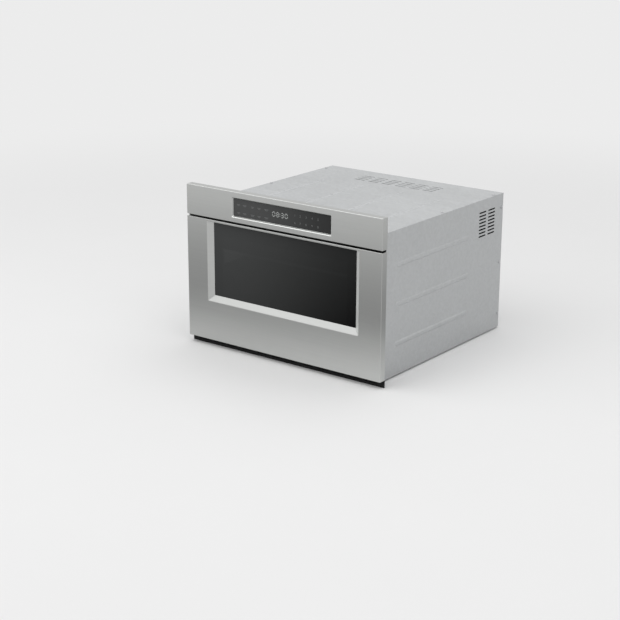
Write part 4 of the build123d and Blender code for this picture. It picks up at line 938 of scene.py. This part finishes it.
def wound_coil(centre, depth, turns):
    """A flat coil with round corners, whose turns stand out as ridges all round it."""
    half = Vector((COIL_WIDTH, depth, COIL_HEIGHT)) / 2
    coil = block("transformer_coils", centre - half, centre + half)
    band = COIL_HEIGHT / turns
    bottom = centre.z - half.z
    with Editing(coil) as edit:
        edit.round_corners("Z", COIL_WIDTH * 0.24, 6)
        for turn in range(1, turns):
            bpy.ops.mesh.select_all(action="SELECT")
            edit.cut("Z", bottom + turn * band)
        for turn in range(turns):
            level = bottom + (turn + 0.5) * band
            edit.faces(lambda middle, normal: abs(normal.z) < 0.1 and abs(middle.z - level) < band * 0.4)
            edit.inset((0.12 * band, 0.12 * band), (0.14 * band, 0.14 * band))
        edit.faces(lambda middle, normal: abs(normal.z) > ALONG)
        edit.inset((band, band * 0.3))
    return smoothed(coil)


class MICRODRAWER_OT_transformer(Operator):
    """Stack the iron core of the transformer, weld its foot on and wind its two coils"""

    bl_idname = "microdrawer.transformer"
    bl_label = "Transformer"

    def execute(self, context):
        low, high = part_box("transformer")
        centre, height = (low + high) / 2, high.z - low.z
        half = Vector((CORE_X, CORE_Y, height / 2))
        core = block("transformer_core", centre - half, centre + half)
        with Editing(core) as edit:
            for side in (-1, 1):
                for weld in CORE_WELDS:
                    bpy.ops.mesh.select_all(action="SELECT")
                    edit.cut("Z", centre.z + half.z * weld + side * WELD_HALF)
            for weld in CORE_WELDS:
                level = centre.z + half.z * weld
                edit.faces(lambda middle, normal: abs(normal.x) > ALONG and abs(middle.z - level) < MM)
                edit.inset((0.8 * MM, -1.0 * MM))
        rounded(core, 0.8 * MM)
        front, rear = centre.y - FOOT_Y, centre.y + FOOT_Y
        foot = block("foot", (low.x, front, low.z), (high.x, rear, low.z + FOOT_THICKNESS))
        with Editing(foot) as edit:
            edit.round_corners("Z", 6 * MM, 5)
        iron = smoothed(joined("transformer_core", [core, rounded(foot, 0.4 * MM)]))
        placed(iron, laminated_iron(), "case", "core_iron", "transformer")
        depth = high.y - low.y - COIL_SHORT
        coils = [
            wound_coil(Vector((centre.x, centre.y, low.z + share * height)), depth, turns)
            for share, turns in COILS
        ]
        placed(joined("transformer_coils", coils), enamelled_copper(), "case", "core_iron")
        return {"FINISHED"}


class MICRODRAWER_OT_works(Operator):
    """Finish the magnetron, boards, fan, switches and motors"""

    bl_idname = "microdrawer.works"
    bl_label = "Works"

    def execute(self, context):
        aluminium = drawn_metal("aluminium", (0.66, 0.67, 0.68), 0.34)
        dress(aluminium, ["stirrer_blade", "waveguide", "magnetron", "capacitor", "thermal_cutouts"], 0.3)
        rear_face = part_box("control_board")[0].y + BOARD
        dress(circuit_board("control_board", rear_face, 1), ["control_board"], 0)
        stand_off = 9 * MM
        front_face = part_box("noise_filter_board")[1].y - stand_off - BOARD
        dress(circuit_board("filter_board", front_face, -1), ["noise_filter_board"], 0.5)
        grey = moulded_plastic("grey_plastic", (0.20, 0.205, 0.21))
        dress(grey, ["stirrer_motor", "fan_motor", "drive_motor", "display_module"], 0.4)
        dress(grey, ["fan_wheel", "primary_plunger", "secondary_plunger", "monitor_plunger"], 0.2)
        dress("black_plastic", ["fan_duct", "interlock_switches"], 0.4)
        return {"FINISHED"}


# -------- drawer


class MICRODRAWER_OT_tray(Operator):
    """Finish the door frame, its windows and cover, and the tray, and run the seal round its floor"""

    bl_idname = "microdrawer.tray"
    bl_label = "Tray"

    def execute(self, context):
        dress("black_paint", ["door_frame"], 0.3)
        dress(perforated_screen(), ["window_screen"], 0.2)
        dress(inner_glass(), ["inner_window"], 0.3)
        dress("black_plastic", ["choke_cover"], 0.4)
        dress("oven_enamel", ["tray_support", "tray_side_walls", "tray_rear_wall"], 0.2)
        dress(ceramic_floor(), ["tray_floor"], 0.3)
        floor_low, floor_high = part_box("tray_floor")
        over, deep, width = 0.9 * MM, 1.6 * MM, 4.2 * MM
        low = Vector((floor_low.x - over, floor_low.y - over, floor_high.z - deep))
        bead = block("floor_seal", low, floor_high + Vector((over, over, over)))
        with Editing(bead) as edit:
            edit.faces(lambda middle, normal: abs(normal.z) > ALONG)
            edit.inset((width, 0))
            bpy.ops.mesh.bridge_edge_loops()
        placed(smoothed(rounded(bead, 0.8 * MM, 3, 35)), floor_silicone(), "drawer", "rubber")
        return {"FINISHED"}


class MICRODRAWER_OT_bumpers(Operator):
    """Press the soft pads into the corners of the drawer's back, where it closes on the frame"""

    bl_idname = "microdrawer.bumpers"
    bl_label = "Closing pads"

    def execute(self, context):
        low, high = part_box("drawer_fascia")
        inwards, up, down = 13 * MM, 40 * MM, 20 * MM
        radius, thick, proud = 5.5 * MM, 5.0 * MM, 0.7 * MM
        pads = [
            pad("closing_pads", (x, high.y + proud - thick / 2, z), radius, thick)
            for z in (low.z + up, high.z - down)
            for x in (low.x + inwards, high.x - inwards)
        ]
        placed(joined("closing_pads", pads), rubber("soft_rubber"), "drawer", "rubber")
        return {"FINISHED"}


class MICRODRAWER_OT_gap_seal(Operator):
    """Hang the black lip seal from the control panel, in the gap over the drawer. It is made near black to
    give the gap a painted shade
    """

    bl_idname = "microdrawer.gap_seal"
    bl_label = "Gap seal"

    def execute(self, context):
        low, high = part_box("control_fascia")
        end, behind, hang = high.x - 1.2 * MM, low.y + 6 * MM, 3.9 * MM
        top = low.z + 0.1 * MM
        lip = block("gap_seal", (-end, behind, top - hang), (end, high.y, top))
        with Editing(lip) as edit:
            edit.round_corners("Z", 3 * MM, 4)
            edit.faces(lambda middle, normal: normal.z < -ALONG)
            edit.inset((2.2 * MM, 0), (0.6 * MM, -0.8 * MM))
        # Near-black rubber: partly the seal's own black and partly painted shade in the gap
        seal = rubber("seal_rubber", (0.006, 0.006, 0.006), 0.1)
        placed(smoothed(rounded(lip, 0.5 * MM)), seal, "case", "rubber")
        return {"FINISHED"}


RIVETS = ((-215, 6), (-206, -6), (206, 6), (215, -6))  # mm along a middle rail and up from its middle
RIVET_RADIUS, RIVET_HEIGHT, RIVET_PROUD = 2.8 * MM, 1.8 * MM, 0.4 * MM
RAIL_RIB_LENGTH, RAIL_RIB_HEIGHT = 380 * MM, 1.2 * MM


class MICRODRAWER_OT_slides(Operator):
    """Finish the rails, arms, rack, pinion, hooks and their screws, and press and rivet the middle rails"""

    bl_idname = "microdrawer.slides"
    bl_label = "Slides and drive"

    def execute(self, context):
        bright = drawn_metal("bright_rails", (0.60, 0.61, 0.62), 0.28)
        rails = [f"{part}_rail_{side}" for part in ("fixed", "middle", "inner") for side in ("left", "right")]
        dress(bright, rails + ["rail_arms"], 0.2)
        dress("white_plastic", ["latch_hooks", "drive_rack", "drive_pinion"], 0.2)
        dress("bright_screws", ["drawer_screws"], 0.2)
        for side, name in ((-1, "left"), (1, "right")):
            low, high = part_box(f"middle_rail_{name}")
            face = high.x if side > 0 else low.x
            middle = (low + high) / 2
            turn = (QUARTER, 0, side * QUARTER)
            pieces = [pressed_rib((face, middle.y, middle.z), RAIL_RIB_LENGTH, RAIL_RIB_HEIGHT, turn)]
            for along, up in RIVETS:
                centre = (face + side * RIVET_PROUD, middle.y + along * MM, middle.z + up * MM)
                pieces.append(pad("rivet", centre, RIVET_RADIUS, RIVET_HEIGHT, "X"))
            placed(joined(f"middle_rail_{name}_ribs", pieces), bright, f"middle_rail_{name}", "rail_steel")
        return {"FINISHED"}


# -------- stage

BACKDROP = (0.84, 0.84, 0.84)  # the floor far off and the world, where they are seen
ROOM = (0.52, 0.52, 0.52)  # the world where it only lights a surface
FLOOR = (0.80, 0.80, 0.80)
LAMPS = (  # name, place, width and power
    ("key_light", (-2.1, -3.0, 3.5), 4.6, 82),
    ("fill_light", (3.6, -1.4, 2.8), 3.6, 32),
    ("top_light", (0.2, 0.4, 4.4), 5.0, 84),
)
LAMP_AIM = Vector((0, 0, 0.2))
CAMERA_ANGLES = (37.22, 17.43, 0.22)  # degrees that it is turned to the side, down and about its own axis
CAMERA_STAND = Vector((2.501, -2.772, 0.832))  # from the upper left corner of the panel's face
CAMERA_LENS, CAMERA_FILM = 86.92, 36  # mm


def seen_rays(make):
    """1 for what the camera, a mirror or clear glass sees, and 0 for light that only falls on a surface."""
    path = make.node("LightPath").outputs
    kinds = ("Camera", "Glossy", "Transmission")
    camera, mirror, glass = (Number(make, path[f"Is {kind} Ray"]) for kind in kinds)
    return (camera + mirror + glass).at_most(1.0)


def pale_floor():
    """A pale floor that keeps the shadow of the appliance and fades into the backdrop far from it."""
    make = Finish("pale_floor")
    x, y, _ = make.axes()
    away = (x * x + y * y).root()
    tone = make.shaded(FLOOR, 0.99 + make.noise(3.0, 3.0) * 0.02)
    matt = {"Base Color": tone, "Roughness": 0.7, "Specular IOR Level": 0.1}
    near = make.node("BsdfPrincipled", matt)
    far = make.node("Emission", {"Color": four(BACKDROP)})
    make.show(make.either(away.ramp(0.9, 3.2) * seen_rays(make), near, far))
    return make.material.name


def studio_light(scene):
    """Soft even light from all round, with the backdrop's own tone where it is seen."""
    scene.world = bpy.data.worlds.new("studio")
    make = Nodes(scene.world)
    lit, seen = (make.node("Background", {0: four(tone)}) for tone in (ROOM, BACKDROP))
    make.show(make.either(seen_rays(make), lit, seen), "OutputWorld")
    for name, place, width, power in LAMPS:
        clear_selection()
        bpy.ops.object.light_add(type="AREA", location=place)
        lamp = bpy.context.object
        lamp.name = name
        set_all(lamp.data, size=width, energy=power)
        lamp.rotation_euler = (LAMP_AIM - Vector(place)).to_track_quat("-Z", "Y").to_euler()


def photo_camera():
    """The camera where the appliance fills the same part of the picture as in the photograph."""
    yaw, pitch, roll = (math.radians(angle) for angle in CAMERA_ANGLES)
    sideways, downwards = Matrix.Rotation(yaw, 4, "Z"), Matrix.Rotation(QUARTER - pitch, 4, "X")
    clear_selection()
    bpy.ops.object.camera_add()
    camera = bpy.context.object
    camera.name = "photo_camera"
    set_all(camera.data, sensor_width=CAMERA_FILM, lens=CAMERA_LENS, clip_end=100)
    low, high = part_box("control_fascia")
    stand = Vector((low.x, low.y, high.z)) + CAMERA_STAND
    camera.matrix_world = Matrix.Translation(stand) @ sideways @ downwards @ Matrix.Rotation(roll, 4, "Z")
    return camera


class MICRODRAWER_OT_stage(Operator):
    """Set the floor, the lights and the camera"""

    bl_idname = "microdrawer.stage"
    bl_label = "Stage"

    def execute(self, context):
        scene = context.scene
        clear_selection()
        bpy.ops.mesh.primitive_plane_add(size=60, location=(0, 0, 0))
        floor = named("floor")
        coat(floor, pale_floor())
        studio_light(scene)
        scene.camera = photo_camera()
        scene.view_settings.view_transform = "Standard"
        return {"FINISHED"}


STEPS = (
    MICRODRAWER_OT_control_panel,
    MICRODRAWER_OT_display,
    MICRODRAWER_OT_drawer_front,
    MICRODRAWER_OT_ribs,
    MICRODRAWER_OT_case,
    MICRODRAWER_OT_cavity,
    MICRODRAWER_OT_transformer,
    MICRODRAWER_OT_works,
    MICRODRAWER_OT_tray,
    MICRODRAWER_OT_bumpers,
    MICRODRAWER_OT_gap_seal,
    MICRODRAWER_OT_slides,
    MICRODRAWER_OT_stage,
)


class MICRODRAWER_PT_panel(Panel):
    """The sizes and colours, and a button for each group of pieces"""

    bl_label = "Microwave drawer"
    bl_idname = "MICRODRAWER_PT_panel"
    bl_space_type = "VIEW_3D"
    bl_region_type = "UI"
    bl_category = "Microwave drawer"

    def draw(self, context):
        layout = self.layout
        for group in (context.scene.drawer_sizes, context.scene.drawer_finishes):
            column = layout.column(align=True)
            for name in group.__annotations__:
                column.prop(group, name)
        for step in STEPS:
            layout.operator(step.bl_idname)


CLASSES = (DrawerSizes, DrawerFinishes, *STEPS, MICRODRAWER_PT_panel)


def register():
    for item in CLASSES:
        bpy.utils.register_class(item)
    bpy.types.Scene.drawer_sizes = PointerProperty(type=DrawerSizes)
    bpy.types.Scene.drawer_finishes = PointerProperty(type=DrawerFinishes)


def unregister():
    del bpy.types.Scene.drawer_finishes
    del bpy.types.Scene.drawer_sizes
    for item in reversed(CLASSES):
        bpy.utils.unregister_class(item)


def main():
    """Builds the whole appliance."""
    register()
    for step in STEPS:
        group, name = step.bl_idname.split(".")
        getattr(getattr(bpy.ops, group), name)()


if __name__ == "__main__":
    main()
